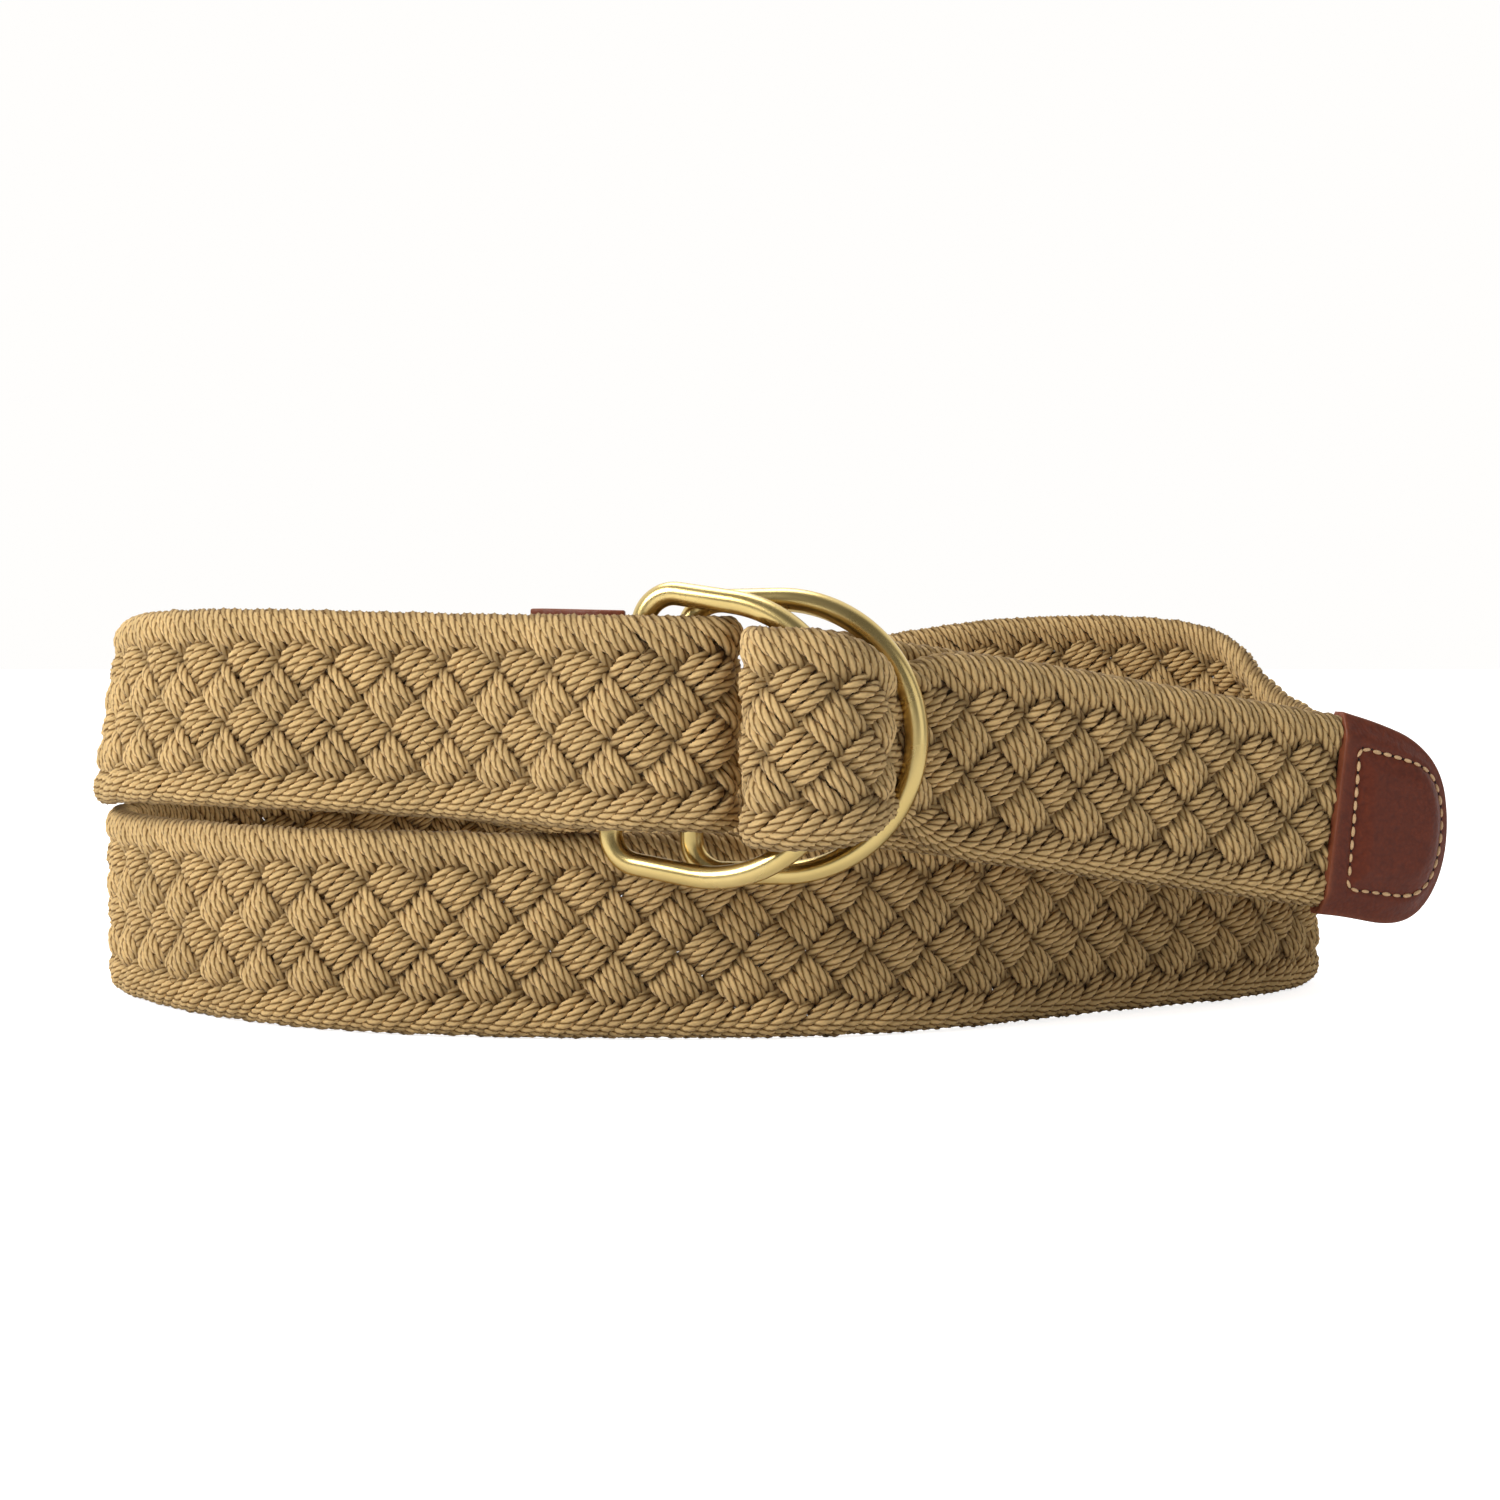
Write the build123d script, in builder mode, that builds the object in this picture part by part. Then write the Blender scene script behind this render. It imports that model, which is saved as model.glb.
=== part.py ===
from build123d import *
import math
import os

# Braided cotton belt, coiled two turns deep on its lower edge, with two brass D-rings,
# a leather end tip and a leather patch behind the sewn loop. Millimetres, +Z up.
# The origin is under the middle of the coil, on the surface that the belt stands on.

os.makedirs("parts", exist_ok=True)

# --- driving dimensions -------------------------------------------------------------------
STRAP_WIDTH = 32.0          # height of the strap as it stands on edge
STRAP_THICKNESS = 4.4
STEPS_PER_BEND = 4          # loft sections in each bend of the route

WIRE_DIAMETER = 3.6         # of both D-rings
WIRE_CLEARANCE = 0.35       # room all round a ring inside the folded strap
RING_RADIUS = 20.8          # centreline of the curved side
RING_DEPTH = 14.0           # from the bar to the centre of the curved side
RING_CORNER = 5.0

LEATHER = 1.5               # thickness of the tip and patch leathers
TIP_LENGTH = 22.6
TIP_HEIGHT = 34.0
TIP_CORNER = 8.0
TIP_LAP = 16.5              # from the tip's seam to the end of the strap's route
STRAP_IN_TIP = 13.0         # length of strap held inside the tip
TIP_SLOPE = 9.8             # degrees that the tail falls towards its tip
PATCH_HEIGHT = 34.4

STITCH_LENGTH = 1.5
STITCH_WIDTH = 0.55
STITCH_RISE = 0.35
STITCH_PITCH = 2.25

ORIGIN_X, ORIGIN_Y = -0.11, 42.0     # middle of the coil in the layout below

# --- the strap's route ---------------------------------------------------------------------
# Control points of one smooth curve along the middle of the strap, from its sewn end to its
# tip: x, y, height of the strap's middle, and inward lean in degrees. Each bend starts and
# ends half way along the runs on either side of its point.
ROUTE = {
    "strap_loop_back_leg": [(-34, 2.9, 50.4, 0), (-24.4, -2.4, 50.1, 0)],
    "strap_loop_turn": [(-12, -2.4, 49.9, 0), (-3.3, -2.4, 49.8, 0), (-3.3, -11.4, 49.8, 0),
                        (-12, -11.4, 49.9, 0)],
    "strap_loop_front_leg": [(-20.5, -11.4, 50, 0), (-43, 2.6, 50.5, 0)],
    "strap_front_upper_run": [(-58, 8.4, 50.9, 0), (-75, 12.5, 51.4, 0), (-91, 19.5, 51.6, 3)],
    "strap_left_upper_bend": [(-106, 31, 51.2, 8), (-114.3, 48, 49.4, 9), (-116, 66, 48.8, 9),
                              (-111, 83, 48.6, 8), (-96, 93.5, 48.2, 3)],
    "strap_back_descending_run": [(-75, 97.5, 46, 0), (-40, 100, 39, 0), (0, 100.5, 31, 0),
                                  (40, 99.5, 22.5, 0), (62, 97.5, 17.2, 0)],
    "strap_right_lower_bend": [(83, 93, 16, 0), (98.5, 83.5, 16, 0), (105, 69, 16, 0),
                               (103, 55, 16, 0), (89.5, 40.5, 16, 0)],
    "strap_front_lower_run": [(72, 31.5, 16, 0), (57, 24, 16, 0), (40, 14, 16, 0),
                              (24, 6.6, 16, 0), (6, 2.4, 16, 0), (-20, 1.8, 16, 0),
                              (-46, 3.4, 16, 0), (-71.3, 9.8, 16, 0), (-90, 21.5, 16, 0)],
    "strap_left_lower_bend": [(-106, 36.5, 16, 0), (-115.5, 52, 16, 0), (-117.5, 68, 16, 0),
                              (-114, 85, 16, 0), (-100, 98.5, 16, 0)],
    "strap_back_rising_run": [(-76, 104.5, 18, 0), (-40, 106.8, 29, 0), (0, 107.3, 42, 0),
                              (40, 106.3, 50.5, 0), (66, 103.5, 52, 0)],
    "strap_right_outer_bend": [(84, 99.5, 51.5, 0), (97, 92.5, 48.8, 10), (106, 81.5, 40, 27),
                               (112, 62, 33.5, 22), (106.5, 43.5, 33, 11), (91.5, 28.8, 35, 0)],
    "strap_arriving_run": [(66, 17, 39.4, 0), (39, 4.6, 43.7, 0)],
    "strap_fold_over": [(19.4, -3.6, 46.6, 0), (12.5, -10.2, 48, 0), (0.4, -10.2, 48.2, 0),
                        (0.4, -22.9, 48.2, 0), (18.2, -23.4, 47.8, 0), (20.9, -8.3, 46.3, 0)],
    "strap_tail": [(39, -1.5, 43.7, 0), (65, 9.2, 39.4, 0), (91, 20, 35, 0),
                   (102, 24.4, 33.1, 0), (112.5, 28.6, 31.3, 0)],
}
CONTROL = [point for stretch in ROUTE.values() for point in stretch]


def blend_point(first, second, share):
    """A control value part of the way from one control point to the next."""
    return tuple(a + (b - a) * share for a, b in zip(first, second))


def bend_station(index, share):
    """Place, heading and lean at a share of the bend around one control point."""
    here = CONTROL[index]
    start = blend_point(CONTROL[index - 1], here, 0.5)
    end = blend_point(here, CONTROL[index + 1], 0.5)
    x, y, z, lean = blend_point(blend_point(start, here, share), blend_point(here, end, share), share)
    ahead = blend_point(start, here, share)
    beyond = blend_point(here, end, share)
    heading = math.atan2(beyond[1] - ahead[1], beyond[0] - ahead[0])
    return (x - ORIGIN_X, y - ORIGIN_Y, z, heading, lean)


def run_end(point, other):
    """The free end of the strap, square to its last run."""
    x, y, z, lean = point
    heading = math.atan2(other[1] - y, other[0] - x)
    return (x - ORIGIN_X, y - ORIGIN_Y, z, heading, lean)


def stretch_stations(name):
    """All loft stations of one stretch of the strap, which ends where the next one starts."""
    first = sum(len(ROUTE[other]) for other in list(ROUTE)[:list(ROUTE).index(name)])
    last = first + len(ROUTE[name]) - 1
    stations = []
    if first == 0:
        stations.append(run_end(CONTROL[0], CONTROL[1]))
        first = 1
    tail_end = last == len(CONTROL) - 1
    for index in range(first, last + (0 if tail_end else 1)):
        steps = range(STEPS_PER_BEND + 1) if index == first else range(1, STEPS_PER_BEND + 1)
        stations += [bend_station(index, step / STEPS_PER_BEND) for step in steps]
    if tail_end:
        x, y, z, lean = CONTROL[-1]
        stations.append((x - ORIGIN_X, y - ORIGIN_Y, z, stations[-1][3], lean))
    return stations


def section_plane(station, offset=0.0):
    """Upright plane across the strap; its x is the strap's thickness and its y the width."""
    x, y, z, heading, lean = station
    tilt = math.radians(lean)
    tangent = Vector(math.cos(heading), math.sin(heading), 0)
    # the strap turns round a ring, so its left side isn't always the one that faces inwards
    across = Vector(-math.sin(heading), math.cos(heading), 0)
    inward = 1 if across.dot(Vector(-x, -y, 0)) > 0 else -1
    side = across * math.cos(tilt) - Vector(0, 0, 1) * math.sin(tilt) * inward
    return Plane(origin=Vector(x, y, z) + across * offset, x_dir=side, z_dir=tangent)


def ring_plane(bar, roll, tilt):
    """Plane of a D-ring: its origin is the middle of the bar, x points to the curved side."""
    roll, tilt = math.radians(roll), math.radians(tilt)
    along_bar = Vector(math.sin(roll), 0, math.cos(roll))
    flat = Vector(math.cos(roll), 0, -math.sin(roll))
    reach = flat * math.cos(tilt) + Vector(0, -1, 0) * math.sin(tilt)
    x, y, z = bar
    return Plane(origin=(x - ORIGIN_X, y - ORIGIN_Y, z), x_dir=reach, z_dir=reach.cross(along_bar))


def ring_wire(plane, diameter):
    """One D-ring: a straight bar, two short straight sides and a half-round side."""
    half = RING_RADIUS - RING_CORNER
    with BuildPart() as ring:
        with BuildLine(plane) as path:
            Line((0, -half), (0, half))
            RadiusArc((0, half), (RING_CORNER, RING_RADIUS), RING_CORNER)
            Line((RING_CORNER, RING_RADIUS), (RING_DEPTH, RING_RADIUS))
            ThreePointArc((RING_DEPTH, RING_RADIUS), (RING_DEPTH + RING_RADIUS, 0),
                          (RING_DEPTH, -RING_RADIUS))
            Line((RING_DEPTH, -RING_RADIUS), (RING_CORNER, -RING_RADIUS))
            RadiusArc((RING_CORNER, -RING_RADIUS), (0, -half), RING_CORNER)
        with BuildSketch(Plane(origin=plane.origin, x_dir=plane.x_dir, z_dir=plane.y_dir)):
            Circle(diameter / 2)
        sweep(path=path.wire())
    return ring.part


# --- the two D-rings -------------------------------------------------------------------------
OUTER_BAR, OUTER_ROLL, OUTER_TILT = (-18.75, -7.6, 49.7), 9.0, 20.5
INNER_BAR, INNER_ROLL, INNER_TILT = (-9.2, -6.2, 47.6), -1.0, 10.5
RING_PLAY = 1.0             # degrees that a threaded ring can rock either way

for ring_name, bar, roll, tilt in (("ring_outer", OUTER_BAR, OUTER_ROLL, OUTER_TILT),
                                   ("ring_inner", INNER_BAR, INNER_ROLL, INNER_TILT)):
    with BuildPart() as ring_part:
        add(ring_wire(ring_plane(bar, roll, tilt), WIRE_DIAMETER))
    ring_part.part.label = ring_name
    export_step(ring_part.part, f"parts/{ring_name}.step")

room_diameter = WIRE_DIAMETER + 2 * WIRE_CLEARANCE
ring_rooms = [ring_wire(ring_plane(OUTER_BAR, OUTER_ROLL, OUTER_TILT + play), room_diameter)
              for play in (-RING_PLAY, 0, RING_PLAY)]
ring_rooms += [ring_wire(ring_plane(INNER_BAR, INNER_ROLL, INNER_TILT), room_diameter)]

# --- frame of the leather tip, which lies in the tail's own plane -----------------------------
tail_x, tail_y, tail_z, tail_heading, _ = stretch_stations("strap_tail")[-1]
fall = math.radians(TIP_SLOPE)
tip_along = Vector(math.cos(tail_heading) * math.cos(fall), math.sin(tail_heading) * math.cos(fall),
                   -math.sin(fall))
tip_facing = Vector(math.sin(tail_heading), -math.cos(tail_heading), 0)
tip_origin = Vector(tail_x, tail_y, tail_z) - tip_along * TIP_LAP
TIP_HALF_THICKNESS = STRAP_THICKNESS / 2 + LEATHER

# --- the strap, stretch by stretch -----------------------------------------------------------
STRETCHES_ROUND_RINGS = ("strap_loop_turn", "strap_loop_front_leg", "strap_loop_back_leg",
                         "strap_fold_over", "strap_arriving_run", "strap_tail")
strap_parts = {}
for stretch_name in ROUTE:
    with BuildPart() as stretch:
        for station in stretch_stations(stretch_name):
            with BuildSketch(section_plane(station)):
                Rectangle(STRAP_THICKNESS, STRAP_WIDTH)
        loft(ruled=True)
        if stretch_name in STRETCHES_ROUND_RINGS:
            for room in ring_rooms:
                add(room, mode=Mode.SUBTRACT)
        if stretch_name == "strap_tail":
            strap_end = Plane(origin=tip_origin + tip_along * STRAP_IN_TIP, z_dir=tip_along)
            split(bisect_by=strap_end, keep=Keep.BOTTOM)
    stretch.part.label = stretch_name
    export_step(stretch.part, f"parts/{stretch_name}.step")
    strap_parts[stretch_name] = stretch.part

# --- leather tip --------------------------------------------------------------------------

def tip_outline():
    """Blunt rounded end of the tip, in the tail's own plane, starting at its seam."""
    shoulder = TIP_LENGTH - 1.8
    with BuildSketch() as outline:
        with BuildLine():
            Polyline((0, -TIP_HEIGHT / 2), (shoulder, -TIP_HEIGHT / 2), (TIP_LENGTH, 0),
                     (shoulder, TIP_HEIGHT / 2), (0, TIP_HEIGHT / 2), close=True)
        make_face()
        fillet(outline.vertices().filter_by(lambda v: abs(v.X - shoulder) < 0.01), TIP_CORNER)
    return outline.sketch


for tip_name, facing in (("tip_leather_front", 1), ("tip_leather_back", -1)):
    leather_plane = Plane(origin=tip_origin, x_dir=tip_along, z_dir=tip_facing * facing)
    with BuildPart() as tip:
        with BuildSketch(leather_plane):
            add(tip_outline())
        extrude(amount=TIP_HALF_THICKNESS)
        outer_face = tip.faces().sort_by(Axis((0, 0, 0), tuple(tip_facing * facing)))[-1]
        fillet(outer_face.edges(), LEATHER * 0.6)
        add(strap_parts["strap_tail"], mode=Mode.SUBTRACT)
    tip.part.label = tip_name
    export_step(tip.part, f"parts/{tip_name}.step")


def seam_places(outline_wire, pitch):
    """Evenly spaced places round a closed seam: x, y and direction in degrees."""
    count = round(outline_wire.length / pitch)
    places = []
    for number in range(count):
        spot = outline_wire.position_at(number / count)
        way = outline_wire.tangent_at(number / count)
        places.append((spot.X, spot.Y, math.degrees(math.atan2(way.Y, way.X))))
    return places


# --- stitching of the tip: a D-shaped box seam, seen on both faces ---------------------------
SEAM_START, SEAM_END, SEAM_HALF = 3.0, 20.2, 11.7
with BuildSketch() as tip_seam:
    with BuildLine():
        Polyline((SEAM_START, -SEAM_HALF), (SEAM_END, -SEAM_HALF), (SEAM_END, SEAM_HALF),
                 (SEAM_START, SEAM_HALF), close=True)
    make_face()
    fillet(tip_seam.vertices().filter_by(lambda v: v.X > SEAM_START + 1), 4.0)
tip_places = seam_places(tip_seam.face().outer_wire(), STITCH_PITCH)
with BuildPart() as tip_stitching:
    for facing in (1, -1):
        with BuildSketch(Plane(origin=tip_origin + tip_facing * facing * TIP_HALF_THICKNESS,
                               x_dir=tip_along, z_dir=tip_facing * facing)):
            for x, y, turn in tip_places:
                with Locations(Location((x, y * facing, 0), (0, 0, turn * facing))):
                    SlotOverall(STITCH_LENGTH, STITCH_WIDTH)
        extrude(amount=STITCH_RISE)
tip_stitching.part.label = "tip_stitching"
export_step(tip_stitching.part, "parts/tip_stitching.step")

# --- leather patch behind the sewn loop ------------------------------------------------------
PATCH_GAP = 0.05            # keeps the patch's faces off the strap's own
PATCH_EXTRA = 2.4           # length of patch beyond the strap's raw end
patch_offset = -(STRAP_THICKNESS / 2 + PATCH_GAP + LEATHER / 2)
raw_end = run_end(CONTROL[0], CONTROL[1])
raw_end = (raw_end[0] - PATCH_EXTRA * math.cos(raw_end[3]),
           raw_end[1] - PATCH_EXTRA * math.sin(raw_end[3])) + raw_end[2:]
patch_stations = [raw_end] + [bend_station(1, step / 10) for step in range(0, 10, 3)]
with BuildPart() as loop_leather_patch:
    for station in patch_stations:
        with BuildSketch(section_plane(station, -patch_offset)):
            Rectangle(LEATHER, PATCH_HEIGHT)
    loft(ruled=True)
loop_leather_patch.part.label = "loop_leather_patch"
export_step(loop_leather_patch.part, "parts/loop_leather_patch.step")

# --- stitching of the patch: a box seam on its back --------------------------------------------
PATCH_SEAM_LENGTH, PATCH_SEAM_HEIGHT = 5.4, 28.0
PATCH_SEAM_MARGIN = 1.6
leg_heading = raw_end[3]
leg_along = Vector(math.cos(leg_heading), math.sin(leg_heading), 0)
patch_facing = Vector(-math.sin(leg_heading), math.cos(leg_heading), 0)
seam_middle = Vector(*raw_end[:3]) + leg_along * (PATCH_SEAM_MARGIN + PATCH_SEAM_LENGTH / 2) \
    + patch_facing * (LEATHER / 2 - patch_offset)
with BuildSketch() as patch_seam:
    Rectangle(PATCH_SEAM_LENGTH, PATCH_SEAM_HEIGHT)
patch_places = seam_places(patch_seam.face().outer_wire(), STITCH_PITCH)
with BuildPart() as patch_stitching:
    with BuildSketch(Plane(origin=seam_middle, x_dir=leg_along, z_dir=patch_facing)):
        for x, y, turn in patch_places:
            with Locations(Location((x, y, 0), (0, 0, turn))):
                SlotOverall(STITCH_LENGTH, STITCH_WIDTH)
    extrude(amount=STITCH_RISE)
patch_stitching.part.label = "patch_stitching"
export_step(patch_stitching.part, "parts/patch_stitching.step")
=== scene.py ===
import logging
import math
from dataclasses import dataclass, field
from enum import Enum
from typing import Sequence

import bmesh
import bpy
import numpy as np
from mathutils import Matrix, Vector


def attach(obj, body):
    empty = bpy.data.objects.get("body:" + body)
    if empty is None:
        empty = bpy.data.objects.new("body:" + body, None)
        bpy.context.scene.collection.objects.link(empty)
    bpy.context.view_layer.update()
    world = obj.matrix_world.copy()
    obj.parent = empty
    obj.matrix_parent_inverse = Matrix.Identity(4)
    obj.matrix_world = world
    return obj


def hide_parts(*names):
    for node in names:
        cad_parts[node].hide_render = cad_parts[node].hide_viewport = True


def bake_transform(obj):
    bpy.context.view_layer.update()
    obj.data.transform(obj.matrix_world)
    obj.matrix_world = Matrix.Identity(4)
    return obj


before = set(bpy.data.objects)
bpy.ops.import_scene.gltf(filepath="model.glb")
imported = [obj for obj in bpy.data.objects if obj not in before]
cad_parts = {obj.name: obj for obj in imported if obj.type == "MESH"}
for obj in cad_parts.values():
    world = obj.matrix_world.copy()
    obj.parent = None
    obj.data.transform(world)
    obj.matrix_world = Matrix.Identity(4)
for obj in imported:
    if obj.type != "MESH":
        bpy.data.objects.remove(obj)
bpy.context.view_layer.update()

LOG = logging.getLogger("braided_belt")
MM = 0.001
UP = np.array([0.0, 0.0, 1.0])

Colour = tuple[float, float, float, float]
Place = tuple[float, float, float]
Stations = dict[str, np.ndarray]

# Middle of the coil in the layout that the route below is written in, millimetres.
LAYOUT_ORIGIN = (-0.11, 42.0)

# Control points of the smooth curve along the middle of the strap, from its sewn end to its
# tip: x, y, height of the strap's middle, and inward lean in degrees.
ROUTE: dict[str, list[tuple[float, float, float, float]]] = {
    "strap_loop_back_leg": [(-34, 2.9, 50.4, 0), (-24.4, -2.4, 50.1, 0)],
    "strap_loop_turn": [(-12, -2.4, 49.9, 0), (-3.3, -2.4, 49.8, 0), (-3.3, -11.4, 49.8, 0),
                        (-12, -11.4, 49.9, 0)],
    "strap_loop_front_leg": [(-20.5, -11.4, 50, 0), (-43, 2.6, 50.5, 0)],
    "strap_front_upper_run": [(-58, 8.4, 50.9, 0), (-75, 12.5, 51.4, 0), (-91, 19.5, 51.6, 3)],
    "strap_left_upper_bend": [(-106, 31, 51.2, 8), (-114.3, 48, 49.4, 9), (-116, 66, 48.8, 9),
                              (-111, 83, 48.6, 8), (-96, 93.5, 48.2, 3)],
    "strap_back_descending_run": [(-75, 97.5, 46, 0), (-40, 100, 39, 0), (0, 100.5, 31, 0),
                                  (40, 99.5, 22.5, 0), (62, 97.5, 17.2, 0)],
    "strap_right_lower_bend": [(83, 93, 16, 0), (98.5, 83.5, 16, 0), (105, 69, 16, 0),
                               (103, 55, 16, 0), (89.5, 40.5, 16, 0)],
    "strap_front_lower_run": [(72, 31.5, 16, 0), (57, 24, 16, 0), (40, 14, 16, 0),
                              (24, 6.6, 16, 0), (6, 2.4, 16, 0), (-20, 1.8, 16, 0),
                              (-46, 3.4, 16, 0), (-71.3, 9.8, 16, 0), (-90, 21.5, 16, 0)],
    "strap_left_lower_bend": [(-106, 36.5, 16, 0), (-115.5, 52, 16, 0), (-117.5, 68, 16, 0),
                              (-114, 85, 16, 0), (-100, 98.5, 16, 0)],
    "strap_back_rising_run": [(-76, 104.5, 18, 0), (-40, 106.8, 29, 0), (0, 107.3, 42, 0),
                              (40, 106.3, 50.5, 0), (66, 103.5, 52, 0)],
    "strap_right_outer_bend": [(84, 99.5, 51.5, 0), (97, 92.5, 48.8, 10), (106, 81.5, 40, 27),
                               (112, 62, 33.5, 22), (106.5, 43.5, 33, 11), (91.5, 28.8, 35, 0)],
    "strap_arriving_run": [(66, 17, 39.4, 0), (39, 4.6, 43.7, 0)],
    "strap_fold_over": [(19.4, -3.6, 46.6, 0), (12.5, -10.2, 48, 0), (0.4, -10.2, 48.2, 0),
                        (0.4, -22.9, 48.2, 0), (18.2, -23.4, 47.8, 0), (20.9, -8.3, 46.3, 0)],
    "strap_tail": [(39, -1.5, 43.7, 0), (65, 9.2, 39.4, 0), (91, 20, 35, 0),
                   (102, 24.4, 33.1, 0), (112.5, 28.6, 31.3, 0)],
}

# From the tip's seam with the strap to the end of the route.
TIP_LAP = 16.5 * MM


class Body(Enum):
    """What a piece can move with."""

    STRAP = "strap"
    TAIL = "tail"
    RING_OUTER = "ring_outer"
    RING_INNER = "ring_inner"


class Slot(Enum):
    """The finishes that the belt's record names."""

    COTTON = "cotton"
    BRASS = "brass"
    LEATHER = "leather"
    THREAD = "thread"


# --- node trees written as formulas ---------------------------------------------------------


class Socket(Enum):
    """Kinds of socket that the trees here offer."""

    FLOAT = "NodeSocketFloat"
    INT = "NodeSocketInt"
    GEOMETRY = "NodeSocketGeometry"
    MATERIAL = "NodeSocketMaterial"


@dataclass(frozen=True)
class Term:
    """What one node puts out; as a number, it takes part in arithmetic."""

    canvas: "Canvas"
    socket: bpy.types.NodeSocket

    def __add__(self, other: object) -> "Term":
        """Sum."""
        return self.canvas.math("ADD", self, other)

    def __sub__(self, other: object) -> "Term":
        """Difference."""
        return self.canvas.math("SUBTRACT", self, other)

    def __rsub__(self, other: object) -> "Term":
        """Difference, taken from a plain number."""
        return self.canvas.math("SUBTRACT", other, self)

    def __mul__(self, other: object) -> "Term":
        """Product."""
        return self.canvas.math("MULTIPLY", self, other)

    def __truediv__(self, other: object) -> "Term":
        """Quotient."""
        return self.canvas.math("DIVIDE", self, other)

    def __rtruediv__(self, other: object) -> "Term":
        """Quotient of a plain number."""
        return self.canvas.math("DIVIDE", other, self)

    def __mod__(self, other: object) -> "Term":
        """Remainder, never below zero."""
        return self.canvas.math("FLOORED_MODULO", self, other)

    def __abs__(self) -> "Term":
        """Size without its sign."""
        return self.canvas.math("ABSOLUTE", self)


class Canvas:
    """Places and links the nodes of one tree, so that a rule reads like its formula."""

    def __init__(self, tree: bpy.types.NodeTree) -> None:
        """Start on an empty tree.

        Args:
            tree: the node tree to fill.
        """
        self.tree = tree
        tree.nodes.clear()

    @classmethod
    def group(cls, name: str, kind: str, inputs: dict[str, Socket], outputs: dict[str, Socket]) -> "Canvas":
        """Start a node group with named sockets.

        Args:
            name: the group's name.
            kind: the tree's type.
            inputs: kind of each input by name.
            outputs: kind of each output by name.

        Returns:
            The canvas of the group's tree.
        """
        canvas = cls(bpy.data.node_groups.new(name, kind))
        for way, sockets in (("INPUT", inputs), ("OUTPUT", outputs)):
            for title, socket in sockets.items():
                canvas.tree.interface.new_socket(name=title, in_out=way, socket_type=socket.value)
        return canvas

    def given(self) -> dict[str, Term]:
        """What the group is handed, by name."""
        return self.outputs(self.tree.nodes.new("NodeGroupInput"))

    def outputs(self, node: bpy.types.Node) -> dict[str, Term]:
        """All that a node puts out, by name."""
        return {socket.name: Term(self, socket) for socket in node.outputs if socket.name}

    def node(self, kind: str, inputs: dict[str | int, object] | None = None,
             **settings: object) -> bpy.types.Node:
        """Add a node, set its properties and fill its inputs.

        Args:
            kind: the node's type name.
            inputs: values, terms or data blocks by the input's name or number.
            settings: properties, set before the inputs are filled.

        Returns:
            The new node.
        """
        made = self.tree.nodes.new(kind)
        for name, setting in settings.items():
            setattr(made, name, setting)
        self.fill(made, inputs or {})
        return made

    def fill(self, node: bpy.types.Node, inputs: dict[str | int, object]) -> None:
        """Give a node's inputs their values or links.

        Args:
            node: the node.
            inputs: values, terms or data blocks by the input's name or number.
        """
        for place, value in inputs.items():
            if isinstance(value, Term):
                self.tree.links.new(value.socket, node.inputs[place])
            else:
                node.inputs[place].default_value = value

    def take(self, kind: str, inputs: dict[str | int, object] | None = None, output: str | int = 0,
             **settings: object) -> Term:
        """Add a node and use one of its outputs.

        Args:
            kind: the node's type name.
            inputs: values, terms or data blocks by the input's name or number.
            output: the wanted output's name or number.
            settings: properties, set before the inputs are filled.

        Returns:
            The output.
        """
        return Term(self, self.node(kind, inputs, **settings).outputs[output])

    def math(self, operation: str, *values: object) -> Term:
        """One step of arithmetic on numbers.

        Args:
            operation: the Math node's operation.
            values: its operands.

        Returns:
            The result.
        """
        return self.take("ShaderNodeMath", dict(enumerate(values)), operation=operation)

    def vector(self, operation: str, *values: object) -> Term:
        """One step of arithmetic on vectors.

        Args:
            operation: the Vector Math node's operation.
            values: its operands.

        Returns:
            The result: a number for a dot product, else a vector.
        """
        output = "Value" if operation == "DOT_PRODUCT" else "Vector"
        return self.take("ShaderNodeVectorMath", dict(enumerate(values)), output, operation=operation)

    def scaled(self, vector: object, share: object) -> Term:
        """A vector or a colour times a number."""
        return self.take("ShaderNodeVectorMath", {0: vector, "Scale": share}, operation="SCALE")

    def joined(self, *parts: object) -> Term:
        """A vector from its three parts."""
        return self.take("ShaderNodeCombineXYZ", dict(enumerate(parts)))

    def parts(self, vector: Term) -> tuple[Term, ...]:
        """The three parts of a vector."""
        return tuple(self.outputs(self.node("ShaderNodeSeparateXYZ", {0: vector})).values())

    def least(self, first: object, second: object) -> Term:
        """The lower of two numbers."""
        return self.math("MINIMUM", first, second)

    def eased(self, value: Term, low: float, high: float, first: float, last: float) -> Term:
        """Ease between two results as a value climbs from low to high.

        Args:
            value: what is read.
            low: where the climb starts.
            high: where it ends.
            first: the result up to low.
            last: the result from high on.

        Returns:
            The eased result.
        """
        return self.take("ShaderNodeMapRange", {0: value, 1: low, 2: high, 3: first, 4: last},
                         interpolation_type="SMOOTHSTEP")

    def noise(self, place: Term, scale: object, output: str = "Fac", **inputs: float) -> Term:
        """Cloudy noise.

        Args:
            place: where it is read.
            scale: how fine it is.
            output: Fac for a number, Color for three.
            inputs: the node's other inputs.

        Returns:
            The noise.
        """
        return self.take("ShaderNodeTexNoise", {"Vector": place, "Scale": scale, **inputs}, output)

    def here(self) -> Term:
        """The shaded point in its object's own space."""
        return self.take("ShaderNodeTexCoord", output="Object")

    def mark(self, name: str, output: str = "Fac") -> Term:
        """What the mesh carries under a name, in a material."""
        return self.take("ShaderNodeAttribute", output=output, attribute_name=name)

    def carried(self, name: str, data_type: str = "FLOAT") -> Term:
        """What the geometry carries under a name, in a geometry tree."""
        return self.take("GeometryNodeInputNamedAttribute", {0: name}, data_type=data_type)

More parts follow.
